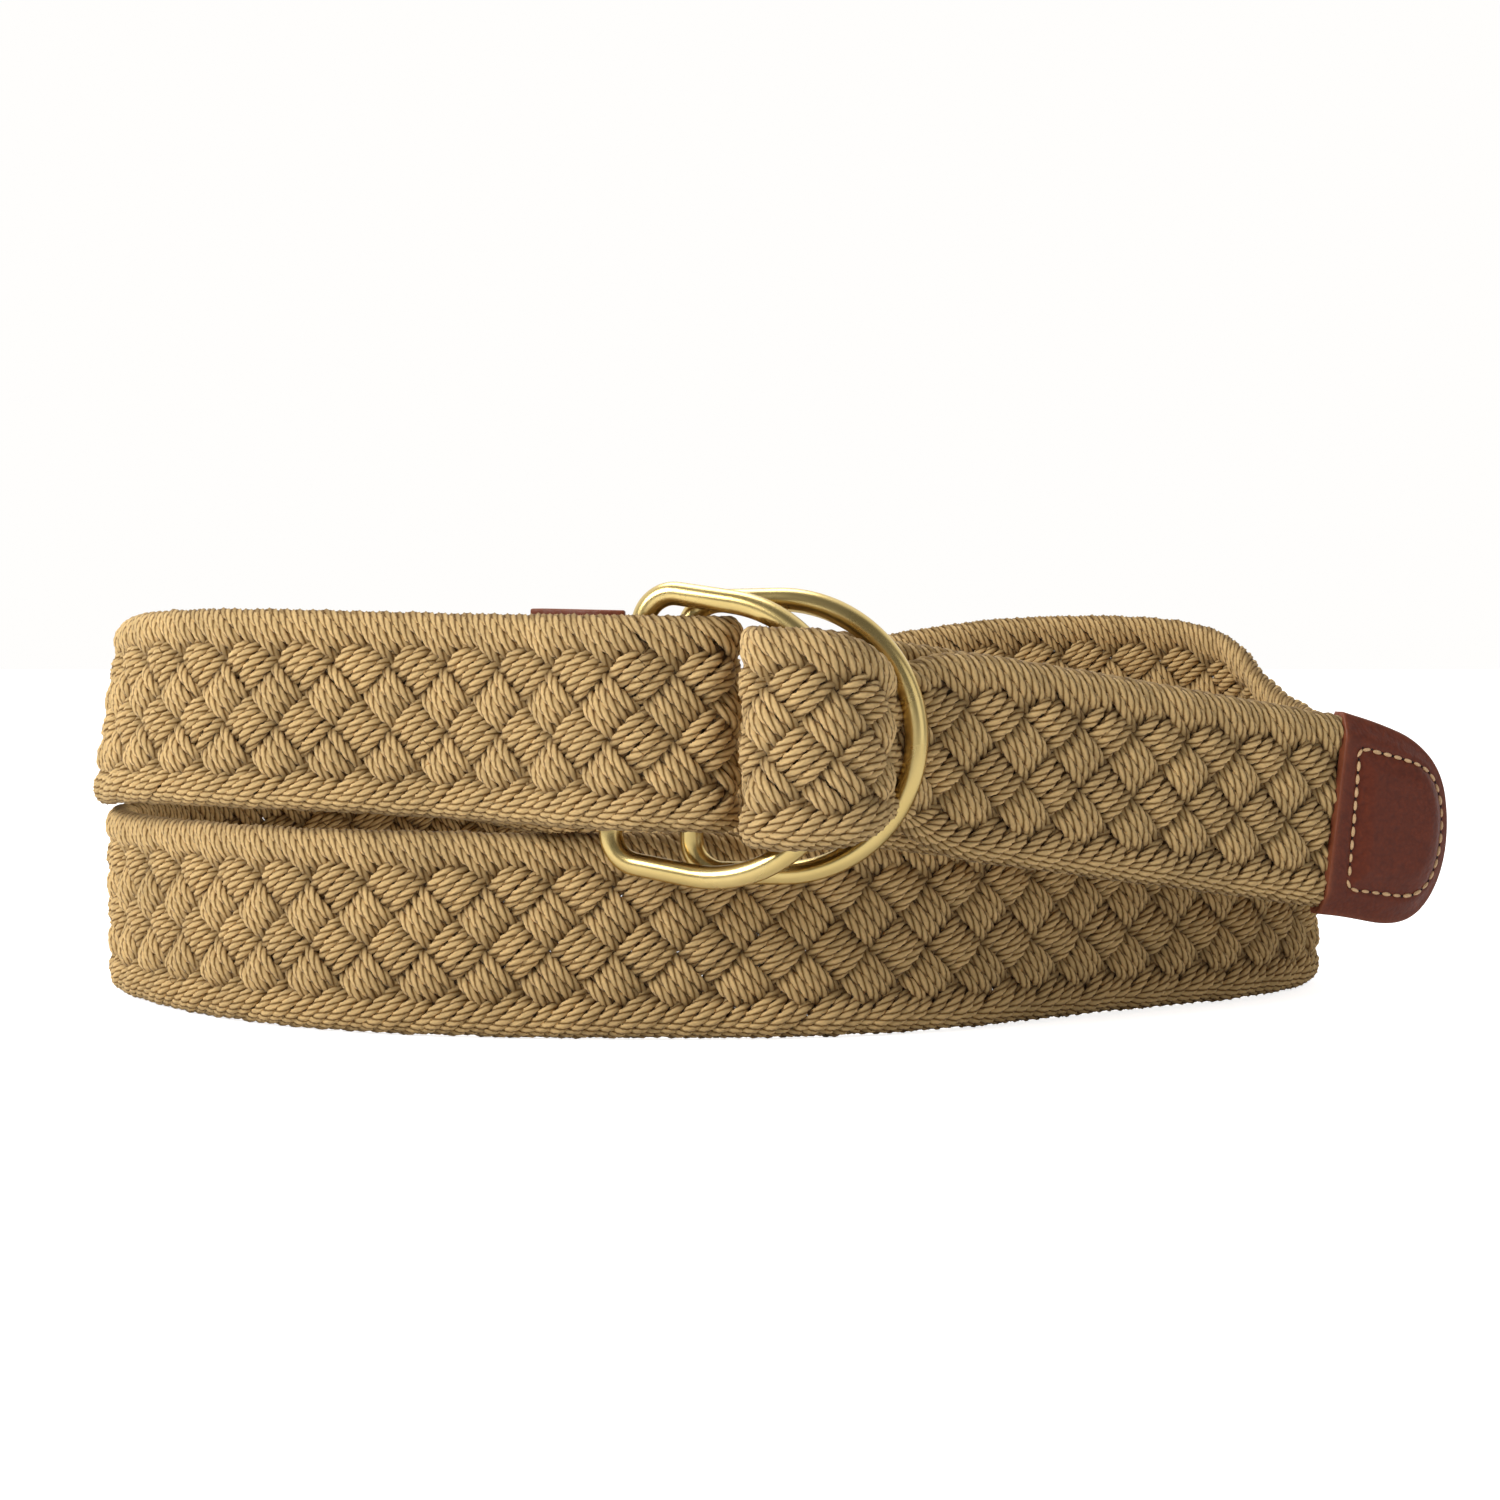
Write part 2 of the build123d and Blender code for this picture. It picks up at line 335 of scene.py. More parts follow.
    def store(self, geometry: Term, name: str, value: Term, data_type: str = "FLOAT") -> Term:
        """Keep a value on each point of a geometry under a name."""
        return self.take("GeometryNodeStoreNamedAttribute", {0: geometry, "Name": name, "Value": value},
                         data_type=data_type, domain="POINT")

    def mixed(self, share: Term, first: object, second: object) -> Term:
        """A colour between two others."""
        return self.take("ShaderNodeMix", {"Factor": share, "A": first, "B": second}, "Result",
                         data_type="RGBA")

    def bump(self, height: Term, depth: float, strength: float, **under: Term) -> Term:
        """The normal of a relief.

        Args:
            height: what stands up, from 0 to 1.
            depth: how far it stands up at 1, in metres.
            strength: share of the effect.
            under: Normal, where the relief lies on another one.

        Returns:
            The normal.
        """
        return self.take("ShaderNodeBump", {"Strength": strength, "Distance": depth, "Height": height,
                                            **under})

    def effect(self, group: bpy.types.NodeTree, scale: float) -> dict[str, Term]:
        """Place a shared effect at its own scale and give what it puts out, by name."""
        return self.outputs(self.node("ShaderNodeGroup", {"Scale": scale}, node_tree=group))

    def finish_pieces(self, geometry: Term, material: Term) -> None:
        """End a geometry tree in one smooth mesh with its material.

        Args:
            geometry: what the tree has made.
            material: the material it is handed.
        """
        solid = self.take("GeometryNodeRealizeInstances", {0: geometry})
        smooth = self.take("GeometryNodeSetShadeSmooth", {0: solid})
        dressed = self.take("GeometryNodeSetMaterial", {0: smooth, "Material": material})
        self.node("NodeGroupOutput", {0: dressed})


def linear(red: float, green: float, blue: float) -> Colour:
    """Turn a colour as the eye reads it, 0 to 255 a channel, into the shader's own values.

    Args:
        red: red share.
        green: green share.
        blue: blue share.

    Returns:
        Linear red, green, blue and full alpha.
    """
    shares = (channel / 255 for channel in (red, green, blue))
    return (*(share / 12.92 if share <= 0.04045 else ((share + 0.055) / 1.055) ** 2.4
              for share in shares), 1.0)


# --- shared shader effects ----------------------------------------------------------------


def fibre_fuzz_group() -> bpy.types.NodeTree:
    """Fine fibres and soft blotches on spun cotton.

    Returns:
        A group that takes Scale and puts out Fibre and Blotch.
    """
    canvas = Canvas.group("fibre_fuzz", "ShaderNodeTree", {"Scale": Socket.FLOAT},
                          {"Fibre": Socket.FLOAT, "Blotch": Socket.FLOAT})
    scale, place = canvas.given()["Scale"], canvas.here()
    canvas.node("NodeGroupOutput", {"Fibre": canvas.noise(place, scale, Detail=3.0),
                                    "Blotch": canvas.noise(place, scale * 0.03)})
    return canvas.tree


def grain_group() -> bpy.types.NodeTree:
    """Pebbled skin with fine creases, for the leather, and light scuffs for any hard finish.

    Returns:
        A group that takes Scale and puts out Height, Pits and Scuffs.
    """
    canvas = Canvas.group("surface_grain", "ShaderNodeTree", {"Scale": Socket.FLOAT},
                          {"Height": Socket.FLOAT, "Pits": Socket.FLOAT, "Scuffs": Socket.FLOAT})
    scale, place = canvas.given()["Scale"], canvas.here()
    pebbles = canvas.take("ShaderNodeTexVoronoi", {"Vector": place, "Scale": scale, "Randomness": 1.0},
                          "Distance")
    creases = canvas.noise(place, scale * 0.45, Detail=6.0, Distortion=0.6)
    pits = 1.0 - pebbles
    canvas.node("NodeGroupOutput", {"Height": pits * 0.45 + creases, "Pits": pits,
                                    "Scuffs": canvas.noise(place, scale * 0.08, Detail=8.0)})
    return canvas.tree


# --- finishes -------------------------------------------------------------------------------


def start_material(name: str) -> tuple[bpy.types.Material, Canvas, bpy.types.Node]:
    """An empty material with its Principled shader already on the output.

    Args:
        name: the material's name.

    Returns:
        The material, its canvas and the Principled node.
    """
    material = bpy.data.materials.new(name)
    material.use_nodes = True
    canvas = Canvas(material.node_tree)
    shader = canvas.node("ShaderNodeBsdfPrincipled")
    canvas.node("ShaderNodeOutputMaterial", {"Surface": Term(canvas, shader.outputs[0])})
    return material, canvas, shader


@dataclass(frozen=True)
class CottonFinish:
    """Spun cotton cord: lit ply crowns, with painted shade in the grooves between plies, in the weave's
    hollows and between the yarn turns.
    """

    crown: Colour = linear(216, 183, 128)
    # groove: painted shade, a darker brown laid into the grooves between the plies.
    groove: Colour = linear(98, 64, 14)
    # Painted shade for the weave's hollows, where a cord dives under its neighbours.
    painted_hollow_shade: Colour = linear(74, 47, 8)
    ply_depth: float = 0.16 * MM
    fibre_depth: float = 0.05 * MM
    fibre_scale: float = 2600.0
    yarns: float = 6.0
    yarn_lay: float = 5200.0
    base_tone: float = 0.51
    blotch_tone: float = 0.35
    cord_tone: float = 0.16
    fibre_tone: float = 0.24
    # Painted shade between the yarn turns: lighter on their crowns, darker between them.
    yarn_painted_shade: float = 0.12

    def material(self, fuzz: bpy.types.NodeTree) -> bpy.types.Material:
        """Make the material.

        Args:
            fuzz: the fibre group.

        Returns:
            The cotton material.
        """
        material, canvas, shader = start_material("cotton_cord")
        fibres = canvas.effect(fuzz, self.fibre_scale)
        across, along, _ = canvas.parts(canvas.mark("around", "Vector"))
        squares = across * across + along * along
        four_plies = abs(along * along / squares - across * across / squares)
        ply = canvas.math("SMOOTH_MIN", four_plies * 1.35, 1.0, 0.3)
        turn = canvas.math("ARCTAN2", along, across)
        yarn = canvas.math("SINE", turn * self.yarns + canvas.mark("run") * self.yarn_lay) * 0.5 + 0.5

        # Painted shade: the colour darkens where the cord sinks under its neighbours (low rise).
        clear_of_hollow_shade = canvas.eased(canvas.mark("rise"), 0.0, 0.8, 0.34, 1.0)
        # Painted shade between plies: the ply mask mixes the groove colour into the grooves.
        colour = canvas.mixed(clear_of_hollow_shade, self.painted_hollow_shade, canvas.mixed(ply, self.groove, self.crown))
        tone = fibres["Blotch"] * self.blotch_tone + self.base_tone
        tone = tone + canvas.mark("shade") * self.cord_tone
        # The yarn stripes also lighten and darken the tone: painted shade between yarn turns.
        tone = tone + fibres["Fibre"] * self.fibre_tone + yarn * self.yarn_painted_shade
        coarse = canvas.bump(ply, self.ply_depth, 0.8)
        canvas.fill(shader, {
            "Base Color": canvas.scaled(colour, tone),
            "Roughness": fibres["Fibre"] * 0.2 + 0.75,
            "Sheen Weight": 0.06,
            "Sheen Roughness": 0.6,
            "Specular IOR Level": 0.08,
            "Normal": canvas.bump(yarn * 0.8 + fibres["Fibre"], self.fibre_depth, 0.7, Normal=coarse)})
        return material


@dataclass(frozen=True)
class BrassFinish:
    """Polished brass wire with soft scuffs and a slight tarnish."""

    bright: Colour = linear(236, 212, 148)
    tarnish: Colour = linear(196, 168, 100)
    roughness: float = 0.20
    scuff_roughness: float = 0.14
    scuff_depth: float = 0.02 * MM
    scale: float = 900.0

    def material(self, grain: bpy.types.NodeTree) -> bpy.types.Material:
        """Make the material.

        Args:
            grain: the shared surface group.

        Returns:
            The brass material.
        """
        material, canvas, shader = start_material("polished_brass")
        scuffs = canvas.effect(grain, self.scale)["Scuffs"]
        canvas.fill(shader, {
            "Base Color": canvas.mixed(scuffs, self.tarnish, self.bright),
            "Roughness": scuffs * self.scuff_roughness + self.roughness,
            "Metallic": 1.0,
            "Normal": canvas.bump(scuffs, self.scuff_depth, 0.25)})
        return material


@dataclass(frozen=True)
class LeatherFinish:
    """Dark reddish brown leather, pebbled, lighter where the edges are worn."""

    body: Colour = linear(108, 44, 20)
    deep: Colour = linear(62, 18, 6)
    worn: Colour = linear(142, 84, 58)
    pebble_depth: float = 0.11 * MM
    scale: float = 1500.0

    def material(self, grain: bpy.types.NodeTree) -> bpy.types.Material:
        """Make the material.

        Args:
            grain: the shared surface group.

        Returns:
            The leather material.
        """
        material, canvas, shader = start_material("brown_leather")
        skin = canvas.effect(grain, self.scale)
        hide = canvas.mixed(skin["Height"], self.deep, self.body)
        canvas.fill(shader, {
            "Base Color": canvas.mixed(canvas.mark("rim") * skin["Scuffs"], hide, self.worn),
            "Roughness": skin["Pits"] * 0.12 + 0.38,
            "Specular IOR Level": 0.26,
            "Normal": canvas.bump(skin["Height"], self.pebble_depth, 0.85)})
        return material


@dataclass(frozen=True)
class ThreadFinish:
    """Waxed sewing thread."""

    colour: Colour = linear(236, 202, 156)
    shadow: Colour = linear(176, 130, 84)
    fibre_depth: float = 0.04 * MM
    fibre_scale: float = 5200.0

    def material(self, fuzz: bpy.types.NodeTree) -> bpy.types.Material:
        """Make the material.

        Args:
            fuzz: the fibre group.

        Returns:
            The thread material.
        """
        material, canvas, shader = start_material("tan_thread")
        fibres = canvas.effect(fuzz, self.fibre_scale)
        canvas.fill(shader, {
            "Base Color": canvas.mixed(fibres["Fibre"], self.shadow, self.colour),
            "Roughness": fibres["Blotch"] * 0.2 + 0.5,
            "Normal": canvas.bump(fibres["Fibre"], self.fibre_depth, 0.6)})
        return material


@dataclass(frozen=True)
class NeedleHoleShade:
    """Painted shade for the inside of a needle hole: a very dark colour on a small bead sunk where the hole
    is.
    """

    colour: Colour = linear(34, 12, 8)
    scale: float = 2500.0

    def material(self, grain: bpy.types.NodeTree) -> bpy.types.Material:
        """Make the material.

        Args:
            grain: the shared surface group.

        Returns:
            The hole material.
        """
        material, canvas, shader = start_material("needle_hole")
        tone = canvas.effect(grain, self.scale)["Scuffs"] * 0.8 + 0.5
        canvas.fill(shader, {"Base Color": canvas.scaled(self.colour[:3], tone), "Roughness": 0.85})
        return material


# --- the strap's route ------------------------------------------------------------------------


@dataclass
class Route:
    """The strap's middle line, as a smooth curve whose bends meet half way along each run."""

    steps_per_bend: int = 24
    nudge: float = 0.02
    control: np.ndarray = field(init=False)
    spans: dict[str, tuple[float, float]] = field(init=False)
    parameter: np.ndarray = field(init=False)
    length: np.ndarray = field(init=False)

    def __post_init__(self) -> None:
        """Lay the control points out in metres and measure the curve."""
        self.control = np.array([point for stretch in ROUTE.values() for point in stretch], float)
        self.control[:, :2] -= LAYOUT_ORIGIN
        self.control[:, :3] *= MM
        last = len(self.control) - 1
        self.spans, first = {}, 0
        for name, stretch in ROUTE.items():
            start = 0.0 if first == 0 else first - 0.5
            first += len(stretch)
            self.spans[name] = (start, float(last) if first > last else first - 0.5)
        self.parameter = np.linspace(0, last, last * self.steps_per_bend + 1)
        places = np.array([self.at(value)[:3] for value in self.parameter])
        steps = np.linalg.norm(np.diff(places, axis=0), axis=1)
        self.length = np.concatenate([[0.0], np.cumsum(steps)])

    def at(self, parameter: float) -> np.ndarray:
        """A point of the curve.

        Args:
            parameter: 0 at the first control point, counting up by one at each.

        Returns:
            x, y, z and lean.
        """
        last = len(self.control) - 1
        index = int(min(max(round(parameter), 0), last))
        here = self.control[index]
        if index == 0:
            return here + (self.control[1] - here) * parameter
        if index == last:
            return here + (self.control[last - 1] - here) * (last - parameter)
        start = (self.control[index - 1] + here) / 2
        end = (here + self.control[index + 1]) / 2
        share = parameter - index + 0.5
        return (1 - share) ** 2 * start + 2 * share * (1 - share) * here + share ** 2 * end

    def runs(self, name: str) -> tuple[float, float]:
        """Where a stretch starts and ends, as lengths from the sewn end.

        Args:
            name: the stretch.

        Returns:
            Start and end, in metres.
        """
        start, end = np.interp(self.spans[name], self.parameter, self.length)
        return float(start), float(end)

    def stations(self, start: float, end: float, step: float) -> Stations:
        """Evenly spaced places along the strap.

        Args:
            start: length from the sewn end at which to begin.
            end: length at which to stop.
            step: wanted spacing.

        Returns:
            Arrays named run, middle, across (up the strap's width), facing (its left side) and
            tangent.
        """
        run = np.linspace(start, end, max(int(round((end - start) / step)), 2) + 1)
        parameter = np.interp(run, self.length, self.parameter)
        last = len(self.control) - 1
        values, ahead, behind = (
            np.array([self.at(min(max(value + shift, 0), last)) for value in parameter])
            for shift in (0, self.nudge, -self.nudge))
        tangent = ahead[:, :3] - behind[:, :3]
        tangent[:, 2] = 0
        tangent /= np.linalg.norm(tangent, axis=1)[:, None]
        left = np.cross(UP, tangent)
        inward = np.where((left * -values[:, :3]).sum(1) > 0, 1.0, -1.0)
        lean = np.radians(values[:, 3]) * inward
        upright, aside = np.cos(lean)[:, None], np.sin(lean)[:, None]
        return {"run": run, "middle": values[:, :3], "across": UP * upright + left * aside,
                "facing": left * upright - UP * aside, "tangent": tangent}


# --- meshes -----------------------------------------------------------------------------------


def mesh_object(name: str, mesh: bpy.types.Mesh) -> bpy.types.Object:
    """Put a mesh in the scene as an object at the origin.

    Args:
        name: the object's name.
        mesh: its mesh.

    Returns:
        The object.
    """
    made = bpy.data.objects.new(name, mesh)
    bpy.context.collection.objects.link(made)
    return made


def settled(source: bpy.types.Object, name: str) -> bpy.types.Object:
    """Turn an object with modifiers into a plain mesh and drop the original.

    Args:
        source: the object whose modifiers are to be applied.
        name: the finished piece's name.

    Returns:
        The plain piece.
    """
    bpy.context.view_layer.update()
    graph = bpy.context.evaluated_depsgraph_get()
    mesh = bpy.data.meshes.new_from_object(source.evaluated_get(graph), depsgraph=graph)
    old = source.data
    bpy.data.objects.remove(source)
    bpy.data.meshes.remove(old)
    mesh.name = name
    return mesh_object(name, mesh)


def guide_mesh(name: str, stations: Stations, closed: bool = False) -> bpy.types.Object:
    """A line of vertices that carries its stations as attributes, for a node tree to follow.

    Args:
        name: the object's name.
        stations: arrays by name; middle gives the places.
        closed: True joins the last vertex to the first.

    Returns:
        The guide object.
    """
    count = len(stations["middle"])
    edges = [(index, index + 1) for index in range(count - 1)] + ([(count - 1, 0)] if closed else [])
    mesh = bpy.data.meshes.new(name)
    mesh.from_pydata([tuple(place) for place in stations["middle"]], edges, [])
    for title, values in stations.items():
        if title != "middle":
            kind, channel = ("FLOAT", "value") if values.ndim == 1 else ("FLOAT_VECTOR", "vector")
            layer = mesh.attributes.new(title, kind, "POINT")
            layer.data.foreach_set(channel, values.astype(np.float32).ravel())
    return mesh_object(name, mesh)


def follow(guide: bpy.types.Object, name: str, tree: bpy.types.NodeTree,
           values: dict[str, object]) -> bpy.types.Object:
    """Run a geometry node tree along a guide and keep the result as a plain piece.

    Args:
        guide: the guide, which is used up.
        name: the piece's name.
        tree: the tree.
        values: input values by socket name.

    Returns:
        The piece.
    """
    modifier = guide.modifiers.new(tree.name, "NODES")
    modifier.node_group = tree
    for item in tree.interface.items_tree:
        if item.in_out == "INPUT" and item.name in values:
            modifier[item.identifier] = values[item.name]
    return settled(guide, name)


def face_outwards(mesh: bpy.types.Mesh) -> None:
    """Turn a closed mesh's faces outwards.

    Args:
        mesh: the mesh, changed in place.
    """
    work = bmesh.new()
    work.from_mesh(mesh)
    bmesh.ops.recalc_face_normals(work, faces=work.faces)
    if work.calc_volume(signed=True) < 0:
        bmesh.ops.reverse_faces(work, faces=work.faces)
    work.to_mesh(mesh)
    work.free()


def skin_mesh(name: str, places: np.ndarray, faces: list[tuple[int, ...]], material: bpy.types.Material,
              rim: np.ndarray | None = None) -> bpy.types.Mesh:
    """A mesh with its material and, for leather, a mark of how near its rim each point is.

    Args:
        name: the mesh's name.
        places: its vertices.
        faces: its faces.
        material: its material.
        rim: 1 at the rim, 0 well inside it.

    Returns:
        The mesh.
    """
    mesh = bpy.data.meshes.new(name)
    mesh.from_pydata([tuple(place) for place in places], [], faces)
    if rim is not None:
        mesh.attributes.new("rim", "FLOAT", "POINT").data.foreach_set("value", rim.astype(np.float32))
    mesh.materials.append(material)
    return mesh


def grid_faces(rows: int, columns: int) -> list[tuple[int, ...]]:
    """Four-sided faces between the rows of an open grid of vertices.

    Args:
        rows: number of rows.
        columns: vertices in each.

    Returns:
        The faces.
    """
    return [(row * columns + column, row * columns + column + 1,
             (row + 1) * columns + column + 1, (row + 1) * columns + column)
            for row in range(rows - 1) for column in range(columns - 1)]


def hand_over(piece: bpy.types.Object, slot: Slot, body: Body | None, *nodes: str) -> bpy.types.Object:
    """Say what a piece moves with and which plain solids it stands for.

    Args:
        piece: the finished piece.
        slot: its finish; not used.
        body: what it moves with; None where that is said already.
        nodes: the plain solids that it stands for.

    Returns:
        The same piece.
    """
    if body:
        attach(piece, body.value)
    if nodes:
        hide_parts(*nodes)
    LOG.info("%s: %d faces", piece.name, len(piece.data.polygons))
    return piece


# --- the braided strap --------------------------------------------------------------------------


@dataclass
class BraidedStrap:
    """A flat braid of cotton cords that follows the strap's route.

    Seven strands of four cords cross the strap from edge to edge, over one and under one.
    """

    route: Route
    strands: int = 7
    cords: int = 4
    wale_pitch: float = 10.1 * MM
    column: float = 5.13 * MM
    swell: float = 1.45 * MM
    cord_radius: float = 0.99 * MM
    lobe: float = 0.09
    twist_pitch: float = 5.2 * MM
    looseness: float = 0.36 * MM
    seed: int = 11
    step: float = 0.46 * MM
    lane_spread: float = 0.985
    middle_crown: float = 1.14
    crown_fall: float = -0.30
    cord_sides: int = 8
    gather: float = 0.31
    gather_width: float = 9.5 * MM
    gather_before_tail: float = 13 * MM
    sewn_nip: float = 0.45
    sewn_width: float = 2.6 * MM
    tip_nip: float = 0.4
    fold_nip: float = 0.24
    fold_ease: float = 8 * MM
    short_of_end: float = 12 * MM
    hinge_length: float = 9 * MM

    def sockets(self) -> dict[str, int | float]:
        """The braid's sizes under the names of the tree's inputs."""
        return {"Strands": self.strands, "Cords": self.cords, "Seed": self.seed,
                "Wale Pitch": self.wale_pitch, "Column": self.column, "Swell": self.swell,
                "Cord Radius": self.cord_radius, "Lobe": self.lobe, "Twist Pitch": self.twist_pitch,
                "Looseness": self.looseness}

    def wander(self, canvas: Canvas, given: dict[str, Term], run: Term, index: Term) -> tuple[Term, ...]:
        """Slow wander of each cord, different for every one.

        Args:
            canvas: the tree's canvas.
            given: the tree's inputs.
            run: length along the strap.
            index: the cord's number.

        Returns:
            Shifts along, across and out of the strap.
        """
        where = canvas.joined(run * 110.0, index * 3.7, given["Seed"] * 1.3)
        cloud = canvas.noise(where, 1.0, "Color", Detail=1.0)
        centred = canvas.vector("SUBTRACT", cloud, (0.5, 0.5, 0.5))
        return canvas.parts(canvas.scaled(centred, given["Looseness"] * 2.0))

    def crossing(self, canvas: Canvas, strands: Term, beat: Term, slip: Term) -> tuple[Term, Term]:
        """One strand's zigzag from edge to edge, over one strand and under the next.

        Args:
            canvas: the tree's canvas.
            strands: how many there are.
            beat: place along the strap, counted in half pitches; a zigzag takes two lots of them.
            slip: how much later an outer cord of the strand rises than its middle.

        Returns:
            Place up the strap in columns, and how far over (1) or under (-1) the others it is.
        """
        side = canvas.math("LESS_THAN", beat % (strands * 2.0), strands) * 2.0 - 1.0
        leg = beat % strands
        from_edge = canvas.least(leg, strands - leg)
        near_edge = 1.0 - canvas.least(from_edge, 1.0)
        reach = strands * 0.5 - (from_edge + near_edge * near_edge * 0.5)
        half_sign = canvas.math("SIGN", strands * 0.5 - leg)
        on_leg = canvas.least(canvas.math("MAXIMUM", from_edge - 1.0, 0.0), 1.0)
        over = canvas.math("COSINE", (leg + slip * on_leg - 1.0) * math.pi)
        round_edge = canvas.math("SINE", from_edge * (math.pi / 2)) * half_sign
        at_edge = canvas.math("LESS_THAN", from_edge, 1.0)
        return side * half_sign * reach, at_edge * round_edge + (1.0 - at_edge) * over

    def section(self, canvas: Canvas, given: dict[str, Term]) -> Term:
        """One cord's four-lobed section, which remembers its own round places.

        Args:
            canvas: the tree's canvas.
            given: the tree's inputs.

        Returns:
            The section as a curve.
        """
        ring = canvas.take("GeometryNodeCurvePrimitiveCircle",
                           {"Resolution": self.cord_sides, "Radius": given["Cord Radius"]})
        place = canvas.take("GeometryNodeInputPosition")
        unit = canvas.scaled(place, 1.0 / given["Cord Radius"])
        across, along, _ = canvas.parts(unit)
        lobes = abs(across * across - along * along) * 2.0 - 1.0
        kept = canvas.store(ring, "around", unit, "FLOAT_VECTOR")
        return canvas.take("GeometryNodeSetPosition",
                           {0: kept, "Offset": canvas.scaled(place, lobes * given["Lobe"])})

    def twisted(self, canvas: Canvas, given: dict[str, Term], line: Term, run: Term, index: Term) -> Term:
        """Turn each cord's section as it goes, which lays its plies round each other.

        Args:
            canvas: the tree's canvas.
            given: the tree's inputs.
            line: the cords' middle lines.
            run: length along the strap.
            index: the cord's number.

        Returns:
            The lines with their turned sections' direction.
        """
        tangent = canvas.take("GeometryNodeInputTangent")
        facing = canvas.carried("facing", "FLOAT_VECTOR")
        ahead = canvas.scaled(tangent, canvas.vector("DOT_PRODUCT", tangent, facing))
        square = canvas.vector("NORMALIZE", canvas.vector("SUBTRACT", facing, ahead))
        angle = run * (2 * math.pi) / given["Twist Pitch"] + index * 1.9
        turned = canvas.take("ShaderNodeVectorRotate", {"Vector": square, "Axis": tangent, "Angle": angle},
                             rotation_type="AXIS_ANGLE")
        return canvas.take("GeometryNodeSetCurveNormal", {0: line, "Normal": turned}, mode="FREE")

    def tree(self) -> bpy.types.NodeTree:
        """The braid's rule as a geometry node tree.

        Returns:
            A tree that turns a guide line into the cords around it.
        """
        sizes = {name: Socket.INT if isinstance(size, int) else Socket.FLOAT
                 for name, size in self.sockets().items()}
        canvas = Canvas.group("flat_braid", "GeometryNodeTree",
                              {"Geometry": Socket.GEOMETRY, **sizes, "Material": Socket.MATERIAL},
                              {"Geometry": Socket.GEOMETRY})
        given = canvas.given()
        cords, pitch, run = given["Cords"], given["Wale Pitch"], canvas.carried("run")
        copies = canvas.outputs(canvas.node("GeometryNodeDuplicateElements", {
            "Geometry": canvas.take("GeometryNodeMeshToCurve", {0: given["Geometry"]}),
            "Amount": given["Strands"] * cords}, domain="SPLINE"))
        index = copies["Duplicate Index"]
        strand = canvas.math("FLOOR", (index + 0.5) / cords)
        middle_lane = cords * 0.5 - 0.5
        lane = index - strand * cords - middle_lane
        lane_shift = lane * (pitch * self.lane_spread / cords)
        late, aside, proud = self.wander(canvas, given, run, index)
        half = pitch * 0.5
        beat = (run - strand * pitch - lane_shift + late) / half
        up, wave = self.crossing(canvas, given["Strands"], beat, lane_shift / half * 0.5)

        up = up * given["Column"] * canvas.carried("squeeze") + aside
        lane_share = lane / middle_lane
        crowned = lane_share * lane_share * self.crown_fall + self.middle_crown
        out = (wave * crowned * given["Swell"] * canvas.carried("plump") + proud * 0.6) * -1.0
        offset = canvas.vector("ADD", canvas.scaled(canvas.carried("across", "FLOAT_VECTOR"), up),
                               canvas.scaled(canvas.carried("facing", "FLOAT_VECTOR"), out))
        shade = canvas.take("FunctionNodeRandomValue", {"ID": index, "Seed": given["Seed"]}, 1,
                            data_type="FLOAT")
        # rise says how far over or under its neighbours a cord lies; the cotton paints shade in the hollows
        # from it.
        line = canvas.store(copies["Geometry"], "rise", abs(wave))
        line = canvas.store(line, "shade", shade)
        line = canvas.take("GeometryNodeSetPosition", {0: line, "Offset": offset})
        line = self.twisted(canvas, given, line, run, index)
        cord = canvas.take("GeometryNodeCurveToMesh",
                           {0: line, 1: self.section(canvas, given), "Fill Caps": True})
        for name in ("across", "facing", "plump", "squeeze", "tangent"):
            cord = canvas.take("GeometryNodeRemoveAttribute", {0: cord, "Name": name})
        canvas.finish_pieces(cord, given["Material"])
        return canvas.tree

    def plumpness(self, run: np.ndarray) -> np.ndarray:
        """How full the braid is: pressed where it is sewn, nipped by the rings and inside the tip.

        Args:
            run: lengths from the sewn end.

        Returns:
            Share of the full swell at each.
        """
        seam = sum(self.route.runs("strap_loop_front_leg")) / 2
        sewn = self.sewn_nip * np.exp(-((run - seam) / self.sewn_width) ** 2)
        mouth = self.route.length[-1] - TIP_LAP
        tip = self.tip_nip * np.clip((run - mouth + 3 * MM) / (5 * MM), 0, 1)
        start, end = self.route.runs("strap_fold_over")
        fold = self.fold_nip * np.clip(np.minimum(run - start, end - run) / self.fold_ease + 1, 0, 1)
        return 1 - sewn - tip - fold

    def narrowness(self, run: np.ndarray) -> np.ndarray:
        """How far the round side of the inner ring gathers the strap's width.

        Args:
            run: lengths from the sewn end.

        Returns:
            Share of the full width at each.
        """
        gathered = self.route.runs("strap_tail")[0] - self.gather_before_tail
        return 1 - self.gather * np.exp(-((run - gathered) / self.gather_width) ** 2)

    def build(self, cotton: bpy.types.Material) -> None:
        """Braid every stretch, each in place of its own plain band.

        Args:
            cotton: the cords' material.
        """
        tree = self.tree()
        for node in ROUTE:
            tail = node == "strap_tail"
            start, end = self.route.runs(node)
            stations = self.route.stations(start, end - self.short_of_end * tail, self.step)
            stations["plump"] = self.plumpness(stations["run"])
            stations["squeeze"] = self.narrowness(stations["run"])
            guide = guide_mesh(node.replace("strap_", "guide_"), stations)
            piece = follow(guide, node.replace("strap_", "braid_"), tree,
                           {**self.sockets(), "Material": cotton})
            if tail:
                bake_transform(piece)
            hand_over(piece, Slot.COTTON, None if tail else Body.STRAP, node)


# --- D-rings ----------------------------------------------------------------------------------


